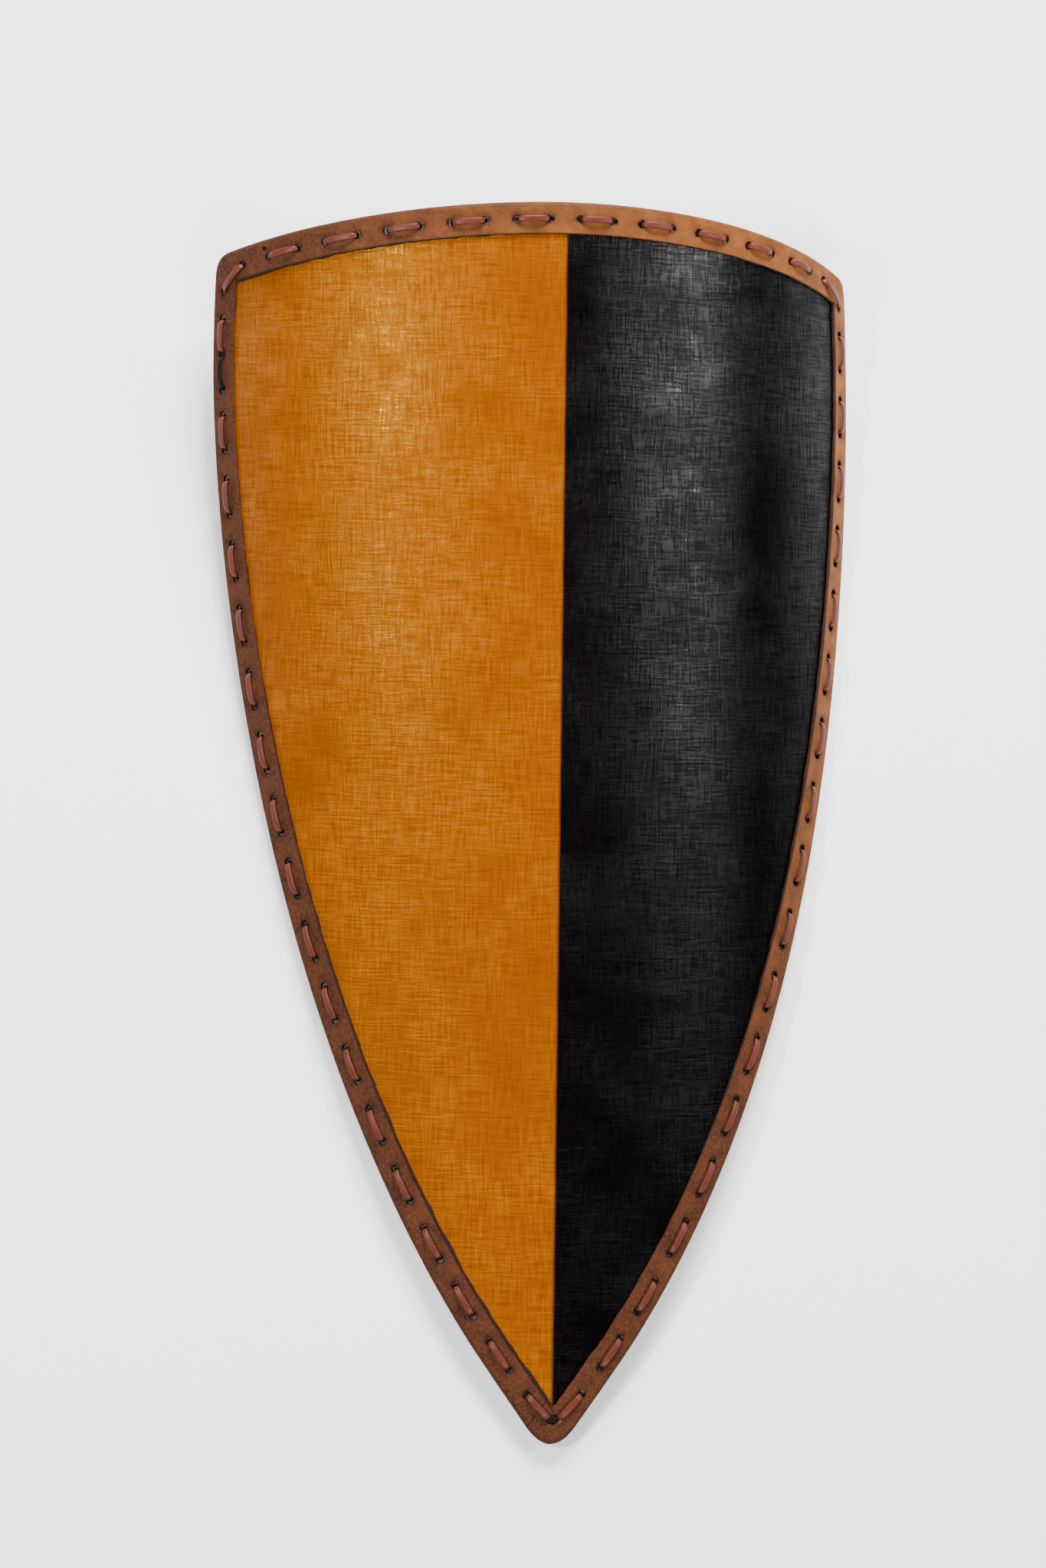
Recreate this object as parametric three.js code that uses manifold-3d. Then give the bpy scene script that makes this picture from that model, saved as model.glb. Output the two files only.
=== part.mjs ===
// A heater shield: a bent plywood board under painted canvas, its rim bound in laced leather.
//
// The shield is laid out flat first, as a maker lays out the blank: u runs round the curve of the face,
// v runs up the shield and n stands off the face, with n = 0 on the leather's front.
// The blank lies a little askew on the bend, and its covering a little less so, as hand work does.
// Each flat solid is then bent round the bend's axis. The finished shield lies on its back, front up.

import * as THREE from 'three'
import { mergeVertices } from 'three/addons/utils/BufferGeometryUtils.js'
import Module from 'manifold-3d'

const wasm = await Module()
wasm.setup()

// Driving dimensions in millimetres

const HEIGHT = 862 // from the level of the top corners down to the tip
const HALF_WIDTH = 284.7 // of the widest level, round the curve
const FACE_RADIUS = 296.4 // of the bend, at the leather's front
const BLANK_TURN = -0.0428 // of the outline against the axis of the bend, in radians
const COVER_TURN = -0.038 // of the canvas, the window and the lacing against it
const TOP_ARCH = 41 // rise of the top edge over its corners
const TOP_ARCH_POWER = 1.91
const SHOULDER_LEVEL = 0.0965 // the widest level, as a share of the height below the corners
const SHOULDER_TUCK = 3.6 // by which the corners stand in from the widest level
const SIDE_POWER = 1.7155 // how late the sides turn in
const TIP_POWER = 0.818 // how bluntly they meet
const SIDE_REACH = 0.9974 // where that curve ends, as a share of the height
const STRAIGHT_FROM = 0.931 // below this share of the height the sides run straight
const CORNER_ROUNDING = 12.6
const TIP_ROUNDING = 31.8

const BOARD_THICKNESS = 8
const CANVAS_THICKNESS = 0.5
const LEATHER_THICKNESS = 1.8
const CLEARANCE = 0.3 // between pieces that touch
const FOLD_GAP = 0.6 // between the board's edge and the fold of the leather
const EDGING_WIDTH = 23.6 // of the leather on the face and behind
const CANVAS_TUCK = 5 // by which the canvas runs in under the leather
const EDGE_ROUNDING = 3 // of the folded leather

const LACE_WIDTH = 4.5
const LACE_THICKNESS = 1.3
const LACE_RISE = 1.7 // of each stitch's middle above its ends
const LACE_LIFT = 0.4 // of the stitch's ends off the leather
const LACE_END_SHARE = 0.9 // of the lace's width, from the tip hole's middle to each end
const HOLE_SLACK = 0.08 // between a lace's edge and its hole
const SHARED_HOLE_SLACK = 0.95 // round the two laces' ends
const HOLE_INSET = 12.3 // from the rim to the line of holes
const STITCH_PITCH = 48.5 // from stitch to stitch, as near as a row's length allows
const STITCH_SHARE = 0.53 // of that pitch which shows on the front
const TOP_ROW = { fromLeft: 50, fromRight: 55.6 } // from the corners
const LEFT_ROW_START = 116 // down the edge from the corner's level
const RIGHT_ROW_START = 42
const LEFT_START = [44, 70, 96.7] // the first holes down the left edge, where the laces meet
const LEFT_CORNER_STITCH = { across: 26, down: 23.6 } // from the corner, along both its edges
const RIGHT_CORNER_STITCH = { across: 34.4, down: 21 }
const TIP_HOLE_RISE = 16 // of the shared tip hole above the tip

const STRAP_THICKNESS = 3
const STRAP_FOOT = 34
const STRAP_LEVEL = 60 // of the straps' middle above the shield's middle
const FOREARM_STRAP = { across: 83, width: 40, span: 210, standOff: 72 }
const HAND_STRAP = { across: -83, width: 32, span: 150, standOff: 48 }
const SCREW = { shankRadius: 2.2, depth: 6, headRadius: 7, flange: 1, domeHeight: 3, domeSteps: 3, sides: 8 }
const LOOP_LEAN = 0.2 // of the half loop, over which the band leaves its foot
const LOOP_FULLNESS = 0.9 // of the half loop, over which its top stays level
const SCREW_FROM_STRAP_END = 15

// How finely round shapes are cut into flats

const FACET_WIDTH = 33.4 // of each flat round the bend
const SIDE_STEPS = 15
const TOP_STEPS = 6
const ROUNDING_STEPS = 4
const HOLE_SIDES = 4
const ROUND_SIDES = 8
const STRAP_STEPS = 14
const LEVEL_STEP = 0.0005 // of the walk down the edge, as a share of the height
const SLOPE_STEP = 0.001 // over which the outline's slope is taken, as a share of its size
const MITRE_LIMIT = 2 // the most by which a bend thickens the lace
const RESTING_ROUNDS = 20 // of the search for the three spots that the shield rests on

// How near counts as the same

const NEAR_LINE = 0.05 // to a line of the bend
const SAME_PLACE = 0.01 // on a line of the bend
const SAME_CORNER = 0.0001 // of a bent solid
const NO_HEADING = 0.000001 // as the length of a direction

// Levels through the thickness, from the leather's front down

const LEATHER_INSIDE = -LEATHER_THICKNESS
const CANVAS_FRONT = LEATHER_INSIDE - CLEARANCE
const CANVAS_BACK = CANVAS_FRONT - CANVAS_THICKNESS
const BOARD_FRONT = CANVAS_BACK - CLEARANCE
const BOARD_BACK = BOARD_FRONT - BOARD_THICKNESS
const LEATHER_BACK = BOARD_BACK - CLEARANCE - LEATHER_THICKNESS
const STRAP_FRONT = BOARD_BACK - CLEARANCE
const STRAP_BACK = STRAP_FRONT - STRAP_THICKNESS
const BOARD_INSET = LEATHER_THICKNESS + FOLD_GAP
const CANVAS_INSET = EDGING_WIDTH - CANVAS_TUCK
const TIP_LEVEL = -HEIGHT / 2

// Cuts right through run from clear of the front to clear of the back

const CUT_FRONT = 1
const CUT_BACK = 2 * LEATHER_BACK

// How far each lace end stands from the middle of its shared hole, clear of the other end

const START_STANDOFF = LACE_THICKNESS / 2 + CLEARANCE
const TIP_STANDOFF = LACE_END_SHARE * LACE_WIDTH + CLEARANCE

// The holes, wide enough for what goes through them

const HOLE_RADIUS = (LACE_WIDTH / 2 + HOLE_SLACK) * Math.SQRT2
const sharedHoleRadius = (standoff) => {
  return Math.hypot(LACE_WIDTH / 2, standoff + LACE_THICKNESS / 2) + SHARED_HOLE_SLACK
}

// The outline

function curvedWidth(level) {
  const below = Math.max(0, (level - SHOULDER_LEVEL) / (SIDE_REACH - SHOULDER_LEVEL))
  const above = Math.max(0, (SHOULDER_LEVEL - level) / SHOULDER_LEVEL)
  return HALF_WIDTH * (1 - below ** SIDE_POWER) ** TIP_POWER - SHOULDER_TUCK * above ** 2
}

function halfWidth(level) {
  if (level < STRAIGHT_FROM) return curvedWidth(level)
  const slope = (curvedWidth(STRAIGHT_FROM) - curvedWidth(STRAIGHT_FROM - SLOPE_STEP)) / SLOPE_STEP
  return curvedWidth(STRAIGHT_FROM) + slope * (level - STRAIGHT_FROM)
}

function sidePoint(level) {
  return new THREE.Vector2(halfWidth(level), HEIGHT * (0.5 - level))
}

function topPoint(u) {
  const fall = (Math.abs(u) / halfWidth(0)) ** TOP_ARCH_POWER
  return new THREE.Vector2(u, HEIGHT / 2 + TOP_ARCH * (1 - fall))
}

// A point of the right half's edge, moved square to the edge toward the middle of the shield
function insetPoint(edge, at, step, inset) {
  const along = edge(at + step).sub(edge(at - step)).normalize()
  return edge(at).add(new THREE.Vector2(along.y, -along.x).multiplyScalar(inset))
}

// Where the straight ends of the two sides would meet
function apex() {
  const end = sidePoint(STRAIGHT_FROM)
  const run = sidePoint(STRAIGHT_FROM + LEVEL_STEP).sub(end)
  return end.addScaledVector(run, -end.x / run.x)
}

// A corner as a curve that leaves both its edges at the same distance
function roundedCorner(before, corner, after, rounding) {
  const toward = (other) => corner.clone().add(other.clone().sub(corner).setLength(rounding))
  const curve = new THREE.QuadraticBezierCurve(toward(before), corner, toward(after))
  return curve.getPoints(ROUNDING_STEPS)
}

function mirrored(point) {
  return new THREE.Vector2(-point.x, point.y)
}

// A point of the flat layout, turned to where it lies on the bend
function turnedBy(angle) {
  return (point) => point.clone().rotateAround(new THREE.Vector2(), angle)
}

// The whole edge, clockwise from the top's middle
function edgeLoop(cornerRounding, tipRounding) {
  const top = []
  for (let i = 0; i < TOP_STEPS; i++) top.push(topPoint(halfWidth(0) * i / TOP_STEPS))
  const side = []
  for (let i = 1; i <= SIDE_STEPS; i++) side.push(sidePoint(STRAIGHT_FROM * i / SIDE_STEPS))
  let corner = [sidePoint(0)]
  let tip = [apex()]
  if (cornerRounding > 0) corner = roundedCorner(top.at(-1), corner[0], side[0], cornerRounding)
  if (tipRounding > 0) tip = roundedCorner(side.at(-1), tip[0], mirrored(side.at(-1)), tipRounding)
  const right = [...corner, ...side]
  const left = [...right].reverse().map(mirrored)
  return [...top, ...right, ...tip, ...left, ...top.slice(1).reverse().map(mirrored)]
}

// A closed outline whose every edge stands in by the inset
function insetShape(loop, inset) {
  const points = loop.map((point, i) => {
    const before = point.clone().sub(loop.at(i - 1)).normalize()
    const after = loop[(i + 1) % loop.length].clone().sub(point).normalize()
    const inward = new THREE.Vector2(before.y + after.y, -before.x - after.x)
    return point.clone().addScaledVector(inward, inset / (1 + before.dot(after)))
  })
  return new THREE.Shape(points)
}

const rim = edgeLoop(CORNER_ROUNDING, TIP_ROUNDING).map(turnedBy(BLANK_TURN))
const coverRim = edgeLoop(0, 0).map(turnedBy(COVER_TURN))

// Solids in the flat layout

function solidOf(geometry) {
  geometry.deleteAttribute('normal')
  geometry.deleteAttribute('uv')
  const merged = mergeVertices(geometry)
  return new wasm.Manifold(new wasm.Mesh({
    numProp: 3,
    vertProperties: new Float32Array(merged.attributes.position.array),
    triVerts: new Uint32Array(merged.index.array)
  }))
}

function plate(shape, back, front, rounding = 0) {
  const geometry = new THREE.ExtrudeGeometry(shape, {
    depth: front - back - 2 * rounding,
    bevelEnabled: rounding > 0,
    bevelThickness: rounding,
    bevelSize: rounding,
    bevelOffset: -rounding,
    bevelSegments: 1
  })
  return solidOf(geometry.translate(0, 0, back + rounding))
}

function prism(center, radius, sides, turn, back, front) {
  const points = []
  for (let i = 0; i < sides; i++) {
    const angle = turn + 2 * Math.PI * i / sides
    points.push(new THREE.Vector2(Math.cos(angle), Math.sin(angle)).multiplyScalar(radius).add(center))
  }
  return plate(new THREE.Shape(points), back, front)
}

// The bend

const FACETS = Math.ceil(Math.max(...rim.map((point) => Math.abs(point.x))) / FACET_WIDTH)

function spoke(line) {
  const angle = line * FACET_WIDTH / FACE_RADIUS
  return new THREE.Vector2(Math.sin(angle), Math.cos(angle))
}

function bend(u, v, n, facet = Math.floor(u / FACET_WIDTH)) {
  const share = u / FACET_WIDTH - facet
  const direction = spoke(facet).lerp(spoke(facet + 1), share)
  const radius = FACE_RADIUS + n
  return new THREE.Vector3(radius * direction.x, v, radius * direction.y - FACE_RADIUS)
}

// The solid with each corner that all but lies on a line of the bend moved clear of it, on its own side
function keptOffLines(solid) {
  const { numProp, vertProperties, triVerts } = solid.getMesh()
  for (let i = 0; i < vertProperties.length; i += numProp) {
    const line = Math.round(vertProperties[i] / FACET_WIDTH) * FACET_WIDTH
    const off = vertProperties[i] - line
    if (Math.abs(off) < NEAR_LINE) vertProperties[i] = line + (off < 0 ? -NEAR_LINE : NEAR_LINE)
  }
  return new wasm.Manifold(new wasm.Mesh({ numProp, vertProperties, triVerts }))
}

// The corners of one strip's triangles, where corners on a line of the bend share one end each
function stripTriangles(solid, facet, lineEnds) {
  const slab = new THREE.BoxGeometry(FACET_WIDTH, 3 * HEIGHT, 3 * HEIGHT)
  slab.translate((facet + 0.5) * FACET_WIDTH, 0, 0)
  const strip = solid.intersect(solidOf(slab)).getMesh()
  const corners = []
  for (let i = 0; i < strip.vertProperties.length; i += strip.numProp) {
    const [u, v, n] = strip.vertProperties.slice(i, i + 3)
    const line = Math.round(u / FACET_WIDTH)
    if (Math.abs(u - line * FACET_WIDTH) > SAME_PLACE) {
      corners.push({ u, v, n, line: null })
      continue
    }
    const ends = lineEnds.get(line) ?? []
    lineEnds.set(line, ends)
    let end = ends.find((other) => Math.hypot(other.v - v, other.n - n) < SAME_PLACE)
    if (!end) {
      end = { u: line * FACET_WIDTH, v, n, line }
      ends.push(end)
    }
    corners.push(end)
  }
  const triangles = []
  for (let i = 0; i < strip.triVerts.length; i += 3) {
    const [a, b, c] = [...strip.triVerts.slice(i, i + 3)].map((vertex) => corners[vertex])
    const onCut = a.line !== null && a.line === b.line && b.line === c.line
    if (!onCut) triangles.push([a, b, c])
  }
  return triangles
}

// The ends on a line of the bend that lie between two corners of a triangle there
function endsBetween(a, b, ends) {
  const span = Math.hypot(b.v - a.v, b.n - a.n)
  const along = (end) => ((end.v - a.v) * (b.v - a.v) + (end.n - a.n) * (b.n - a.n)) / span
  const off = (end) => Math.abs((end.v - a.v) * (b.n - a.n) - (end.n - a.n) * (b.v - a.v)) / span
  const inside = (end) => along(end) > SAME_PLACE && along(end) < span - SAME_PLACE
  const between = ends.filter((end) => inside(end) && off(end) < SAME_PLACE)
  return between.sort((one, other) => along(one) - along(other))
}

// Cuts a flat solid along the lines of the bend, turns each strip into its place and joins them again
function bentGeometry(solid) {
  const lineEnds = new Map()
  const strips = []
  const clear = keptOffLines(solid)
  for (let facet = -FACETS; facet < FACETS; facet++) {
    strips.push({ facet, triangles: stripTriangles(clear, facet, lineEnds) })
  }
  const positions = []
  for (const { facet, triangles } of strips) {
    for (const triangle of triangles) {
      const first = [0, 1, 2].find((i) => {
        const [a, b] = [triangle[i], triangle[(i + 1) % 3]]
        return a.line !== null && a.line === b.line
      }) ?? 0
      const [a, b, c] = [0, 1, 2].map((step) => triangle[(first + step) % 3])
      const onLine = a.line !== null && a.line === b.line
      const edge = [a, ...(onLine ? endsBetween(a, b, lineEnds.get(a.line)) : []), b]
      for (let i = 1; i < edge.length; i++) {
        for (const corner of [edge[i - 1], edge[i], c]) {
          positions.push(...bend(corner.u, corner.v, corner.n, facet).toArray())
        }
      }
    }
  }
  const geometry = new THREE.BufferGeometry()
  geometry.setAttribute('position', new THREE.Float32BufferAttribute(positions, 3))
  return mergeVertices(geometry, SAME_CORNER)
}

// The lace holes, in the order in which the lace meets them

function sideHole(distance, side) {
  let level = 0
  let walked = 0
  while (walked < distance) {
    walked += sidePoint(level).distanceTo(sidePoint(level + LEVEL_STEP))
    level += LEVEL_STEP
  }
  const hole = insetPoint(sidePoint, level, LEVEL_STEP, HOLE_INSET)
  return new THREE.Vector2(side * hole.x, hole.y)
}

function topHole(u) {
  const hole = insetPoint(topPoint, Math.abs(u), SLOPE_STEP * HALF_WIDTH, HOLE_INSET)
  return new THREE.Vector2(Math.sign(u) * hole.x, hole.y)
}

const tipHole = new THREE.Vector2(0, TIP_LEVEL + TIP_HOLE_RISE)

// The distance down the edge at which the hole line comes level with the tip hole
function holeLineEnd() {
  let level = 0
  let walked = 0
  while (insetPoint(sidePoint, level, LEVEL_STEP, HOLE_INSET).y > tipHole.y) {
    walked += sidePoint(level).distanceTo(sidePoint(level + LEVEL_STEP))
    level += LEVEL_STEP
  }
  return walked
}

// Evenly spaced stitches as pairs of distances, where the last one ends at the row's end
function rowOfStitches(first, last) {
  const stitches = Math.round((last - first) / STITCH_PITCH - STITCH_SHARE) + 1
  const pitch = (last - first) / (stitches - 1 + STITCH_SHARE)
  return Array.from({ length: stitches }, (_, i) => {
    const start = first + i * pitch
    return [start, start + STITCH_SHARE * pitch]
  })
}

const cornerReach = halfWidth(0)
const sideEnd = holeLineEnd()

function topRow() {
  const stitches = rowOfStitches(TOP_ROW.fromLeft - cornerReach, cornerReach - TOP_ROW.fromRight)
  return stitches.flat().map(topHole)
}

function sideRow(first, side) {
  const holes = rowOfStitches(first, sideEnd).flat().map((at) => sideHole(at, side))
  return [...holes.slice(0, -1), tipHole]
}

function cornerHoles(stitch, side) {
  return [topHole(side * (cornerReach - stitch.across)), sideHole(stitch.down, side)]
}

const flatLeftStart = LEFT_START.map((at) => sideHole(at, -1))
const flatLeftLace = [...flatLeftStart.slice(1), ...sideRow(LEFT_ROW_START, -1)]
const flatMainLace = [
  flatLeftStart[1],
  flatLeftStart[0],
  ...cornerHoles(LEFT_CORNER_STITCH, -1).reverse(),
  ...topRow(),
  ...cornerHoles(RIGHT_CORNER_STITCH, 1),
  ...sideRow(RIGHT_ROW_START, 1)
]
const leftLaceHoles = flatLeftLace.map(turnedBy(COVER_TURN))
const mainLaceHoles = flatMainLace.map(turnedBy(COVER_TURN))

function punches() {
  const shared = [
    prism(leftLaceHoles[0], sharedHoleRadius(START_STANDOFF), ROUND_SIDES, 0, CUT_BACK, CUT_FRONT),
    prism(leftLaceHoles.at(-1), sharedHoleRadius(TIP_STANDOFF), ROUND_SIDES, 0, CUT_BACK, CUT_FRONT)
  ]
  const own = [leftLaceHoles, mainLaceHoles].flatMap((holes) => {
    return holes.slice(1, -1).map((hole, i) => {
      const turn = hole.clone().sub(holes[i]).angle() + Math.PI / 2
      return prism(hole, HOLE_RADIUS, HOLE_SIDES, turn, CUT_BACK, CUT_FRONT)
    })
  })
  return [...shared, ...own]
}

// The pieces

const lacePunches = wasm.Manifold.union(punches())

function screwPlaces(strap) {
  const reach = strap.span / 2 - SCREW_FROM_STRAP_END
  return [1, -1].map((way) => new THREE.Vector2(strap.across, STRAP_LEVEL + way * reach))
}

const screwSpots = [FOREARM_STRAP, HAND_STRAP].flatMap(screwPlaces)

function screwBore(place) {
  const radius = SCREW.shankRadius + CLEARANCE
  const depth = BOARD_BACK + SCREW.depth + CLEARANCE
  return prism(place, radius, ROUND_SIDES, 0, 2 * STRAP_BACK, depth)
}

const screwBores = wasm.Manifold.union(screwSpots.map(screwBore))

function boardSolid() {
  const blank = plate(insetShape(rim, BOARD_INSET), BOARD_BACK, BOARD_FRONT)
  return blank.subtract(lacePunches).subtract(screwBores)
}

function canvasSolid() {
  return plate(insetShape(coverRim, CANVAS_INSET), CANVAS_BACK, CANVAS_FRONT).subtract(lacePunches)
}

function edgingSolid() {
  const boardRoom = insetShape(rim, LEATHER_THICKNESS)
  const canvasRoom = insetShape(coverRim, CANVAS_INSET - CLEARANCE)
  const window = insetShape(coverRim, EDGING_WIDTH)
  return plate(insetShape(rim, 0), LEATHER_BACK, 0, EDGE_ROUNDING)
    .subtract(plate(boardRoom, BOARD_BACK - CLEARANCE, BOARD_FRONT + CLEARANCE))
    .subtract(plate(canvasRoom, BOARD_FRONT, LEATHER_INSIDE))
    .subtract(plate(window, CUT_BACK, CUT_FRONT))
    .subtract(lacePunches)
}

// The middle line of a lace in the flat layout, through its holes from end to end
function laceLine(holes) {
  const front = LACE_LIFT + LACE_THICKNESS / 2
  const back = LEATHER_BACK - LACE_LIFT - LACE_THICKNESS / 2
  const between = (a, b, share) => a.clone().lerp(b, share)
  const start = between(holes[0], holes[1], START_STANDOFF / holes[0].distanceTo(holes[1]))
  const finish = between(holes.at(-1), holes.at(-2), TIP_STANDOFF / holes.at(-1).distanceTo(holes.at(-2)))
  const route = [start, ...holes.slice(1, -1), finish]
  const stops = [{ at: start, n: BOARD_BACK }]
  for (let i = 0; i < route.length - 1; i++) {
    const onFront = i % 2 === 0
    const level = onFront ? front : back
    stops.push({ at: route[i], n: level })
    if (onFront) stops.push({ at: between(route[i], route[i + 1], 0.5), n: level + LACE_RISE })
    stops.push({ at: route[i + 1], n: level })
  }
  stops.push({ at: finish, n: BOARD_BACK })
  return stops.map((stop) => new THREE.Vector3(stop.at.x, stop.at.y, stop.n))
}

// A flat thong along its middle line, as rings of four corners bent into place
function laceGeometry(holes) {
  const points = laceLine(holes)
  const rings = points.map((point, i) => laceRing(points, i))
  const ringGeometry = new THREE.BufferGeometry()
  const positions = rings.flat().flatMap((corner) => bend(corner.x, corner.y, corner.z).toArray())
  const index = []
  for (let i = 0; i < rings.length - 1; i++) {
    for (let j = 0; j < 4; j++) {
      const a = 4 * i + j
      const b = 4 * i + (j + 1) % 4
      index.push(a, b, a + 4, b, b + 4, a + 4)
    }
  }
  const end = positions.length / 3 - 4
  index.push(0, 2, 1, 0, 3, 2, end, end + 1, end + 2, end, end + 2, end + 3)
  ringGeometry.setAttribute('position', new THREE.Float32BufferAttribute(positions, 3))
  ringGeometry.setIndex(index)
  return ringGeometry
}

// The lace's four corners at one point of its middle line
function laceRing(points, i) {
  const into = points[i].clone().sub(points[Math.max(0, i - 1)])
  const out = points[Math.min(points.length - 1, i + 1)].clone().sub(points[i])
  const before = (into.length() > 0 ? into : out).normalize()
  const after = (out.length() > 0 ? out : before.clone()).normalize()
  const flat = new THREE.Vector3(before.x + after.x, before.y + after.y, 0)
  const up = new THREE.Vector3(0, 0, 1)
  const heading = flat.length() > NO_HEADING ? flat.normalize() : nextHeading(points, i)
  const across = up.clone().cross(heading).normalize()
  const tangent = before.clone().add(after).normalize()
  const normal = tangent.clone().cross(across).normalize()
  const mitre = Math.min(MITRE_LIMIT, 1 / Math.cos(before.angleTo(after) / 2))
  const w = across.multiplyScalar(LACE_WIDTH / 2)
  const h = normal.multiplyScalar(mitre * LACE_THICKNESS / 2)
  return [[-1, -1], [1, -1], [1, 1], [-1, 1]].map(([x, y]) => {
    return points[i].clone().addScaledVector(w, x).addScaledVector(h, y)
  })
}

// The way the lace runs beyond an end that stands in its hole
function nextHeading(points, i) {
  const far = i === 0 ? points[2] : points[points.length - 3]
  const heading = i === 0 ? far.clone().sub(points[0]) : points.at(-1).clone().sub(far)
  heading.z = 0
  return heading.normalize()
}

// A band with two flat feet and a loop between them, as its middle line from end to end
function strapLine(strap) {
  const level = STRAP_FRONT - STRAP_THICKNESS / 2
  const top = level - strap.standOff
  const end = strap.span / 2
  const knee = end - STRAP_FOOT
  const loop = new THREE.CubicBezierCurve(
    new THREE.Vector2(knee, level),
    new THREE.Vector2(knee * (1 - LOOP_LEAN), level),
    new THREE.Vector2(knee * LOOP_FULLNESS, top),
    new THREE.Vector2(0, top)
  )
  const half = [new THREE.Vector2(end, level), ...loop.getPoints(STRAP_STEPS / 2)]
  return [...half, ...half.slice(0, -1).reverse().map(mirrored)]
}

function strapSolid(strap) {
  const line = strapLine(strap)
  const sides = [1, -1].map((side) => line.map((point, i) => {
    const along = line[Math.min(i + 1, line.length - 1)].clone().sub(line[Math.max(i - 1, 0)]).normalize()
    return point.clone().add(new THREE.Vector2(-along.y, along.x).multiplyScalar(side * STRAP_THICKNESS / 2))
  }))
  const shape = new THREE.Shape([...sides[0], ...sides[1].reverse()])
  const geometry = new THREE.ExtrudeGeometry(shape, { depth: strap.width, bevelEnabled: false })
  const turn = new THREE.Matrix4().makeBasis(
    new THREE.Vector3(0, 1, 0),
    new THREE.Vector3(0, 0, 1),
    new THREE.Vector3(1, 0, 0)
  )
  geometry.applyMatrix4(turn).translate(strap.across - strap.width / 2, STRAP_LEVEL, 0)
  return solidOf(geometry).subtract(screwBores)
}

function screwGeometry(place) {
  const under = STRAP_BACK - CLEARANCE
  const top = under - SCREW.flange - SCREW.domeHeight
  const profile = [new THREE.Vector2(0, top)]
  for (let i = 1; i <= SCREW.domeSteps; i++) {
    const angle = Math.PI / 2 * i / SCREW.domeSteps
    const radius = SCREW.headRadius * Math.sin(angle)
    profile.push(new THREE.Vector2(radius, top + SCREW.domeHeight * (1 - Math.cos(angle))))
  }
  profile.push(new THREE.Vector2(SCREW.headRadius, under))
  profile.push(new THREE.Vector2(SCREW.shankRadius, under))
  profile.push(new THREE.Vector2(SCREW.shankRadius, BOARD_BACK + SCREW.depth))
  profile.push(new THREE.Vector2(0, BOARD_BACK + SCREW.depth))
  const geometry = new THREE.LatheGeometry(profile, SCREW.sides)
  geometry.rotateX(Math.PI / 2).translate(place.x, place.y, 0)
  return bentGeometry(solidOf(geometry))
}

// Materials

const materials = {
  wood: new THREE.MeshStandardMaterial({ color: 0xb98d5c, roughness: 0.7, metalness: 0 }),
  canvas: new THREE.MeshStandardMaterial({ color: 0xb4681d, roughness: 0.6, metalness: 0 }),
  leather: new THREE.MeshStandardMaterial({ color: 0x8a4e2f, roughness: 0.65, metalness: 0 }),
  lace: new THREE.MeshStandardMaterial({ color: 0x8b4734, roughness: 0.5, metalness: 0 }),
  steel: new THREE.MeshStandardMaterial({ color: 0x8d8f92, roughness: 0.4, metalness: 1 })
}

function mesh(name, geometry, material) {
  const piece = new THREE.Mesh(geometry, material)
  piece.name = name
  geometry.computeVertexNormals()
  return piece
}

const shield = new THREE.Group()
shield.add(mesh('shield_board', bentGeometry(boardSolid()), materials.wood))
shield.add(mesh('canvas_facing', bentGeometry(canvasSolid()), materials.canvas))
shield.add(mesh('leather_edging', bentGeometry(edgingSolid()), materials.leather))
shield.add(mesh('main_lace', laceGeometry(mainLaceHoles), materials.lace))
shield.add(mesh('left_lace', laceGeometry(leftLaceHoles), materials.lace))
shield.add(mesh('forearm_strap', bentGeometry(strapSolid(FOREARM_STRAP)), materials.leather))
shield.add(mesh('hand_strap', bentGeometry(strapSolid(HAND_STRAP)), materials.leather))
const screwNames = ['forearm_screw_upper', 'forearm_screw_lower', 'hand_screw_upper', 'hand_screw_lower']
screwNames.forEach((name, i) => shield.add(mesh(name, screwGeometry(screwSpots[i]), materials.steel)))

// The resting pose: front up, on one spot of each side edge and one near the tip

function restingUp() {
  const corners = shield.getObjectByName('leather_edging').geometry.attributes.position
  const cornerAt = (_, i) => new THREE.Vector3().fromBufferAttribute(corners, i)
  const points = Array.from({ length: corners.count }, cornerAt)
  const tips = points.filter((point) => point.y < TIP_LEVEL / 2)
  const lefts = points.filter((point) => point.y >= TIP_LEVEL / 2 && point.x < 0)
  const rights = points.filter((point) => point.y >= TIP_LEVEL / 2 && point.x > 0)
  let up = new THREE.Vector3(0, 0, 1)
  for (let i = 0; i < RESTING_ROUNDS; i++) {
    const lowest = (group) => group.reduce((best, point) => (point.dot(up) < best.dot(up) ? point : best))
    const [tip, left, right] = [tips, lefts, rights].map(lowest)
    up = right.clone().sub(tip).cross(left.clone().sub(tip)).normalize()
  }
  return up
}

shield.quaternion.setFromUnitVectors(restingUp(), new THREE.Vector3(0, 0, 1))
const part = new THREE.Group()
part.add(shield)
part.updateMatrixWorld(true)
const box = new THREE.Box3().setFromObject(part, true)
shield.position.set(-(box.min.x + box.max.x) / 2, -(box.min.y + box.max.y) / 2, -box.min.z)

export default part
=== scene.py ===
# A heater shield lying on its back: a bent board under painted canvas, its rim bound in laced leather.
#
# Every piece is made flat first, in the layout of the blank: u runs round the curve of the face, v runs
# up the shield and n stands off the face, with n = 0 on the leather's front. It is then bent round the
# shield's axis and laid down as the frame says. Lengths are in metres and angles in radians.

import math

import bmesh
import bpy
import numpy as np
from mathutils import Matrix, Vector, noise


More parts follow.
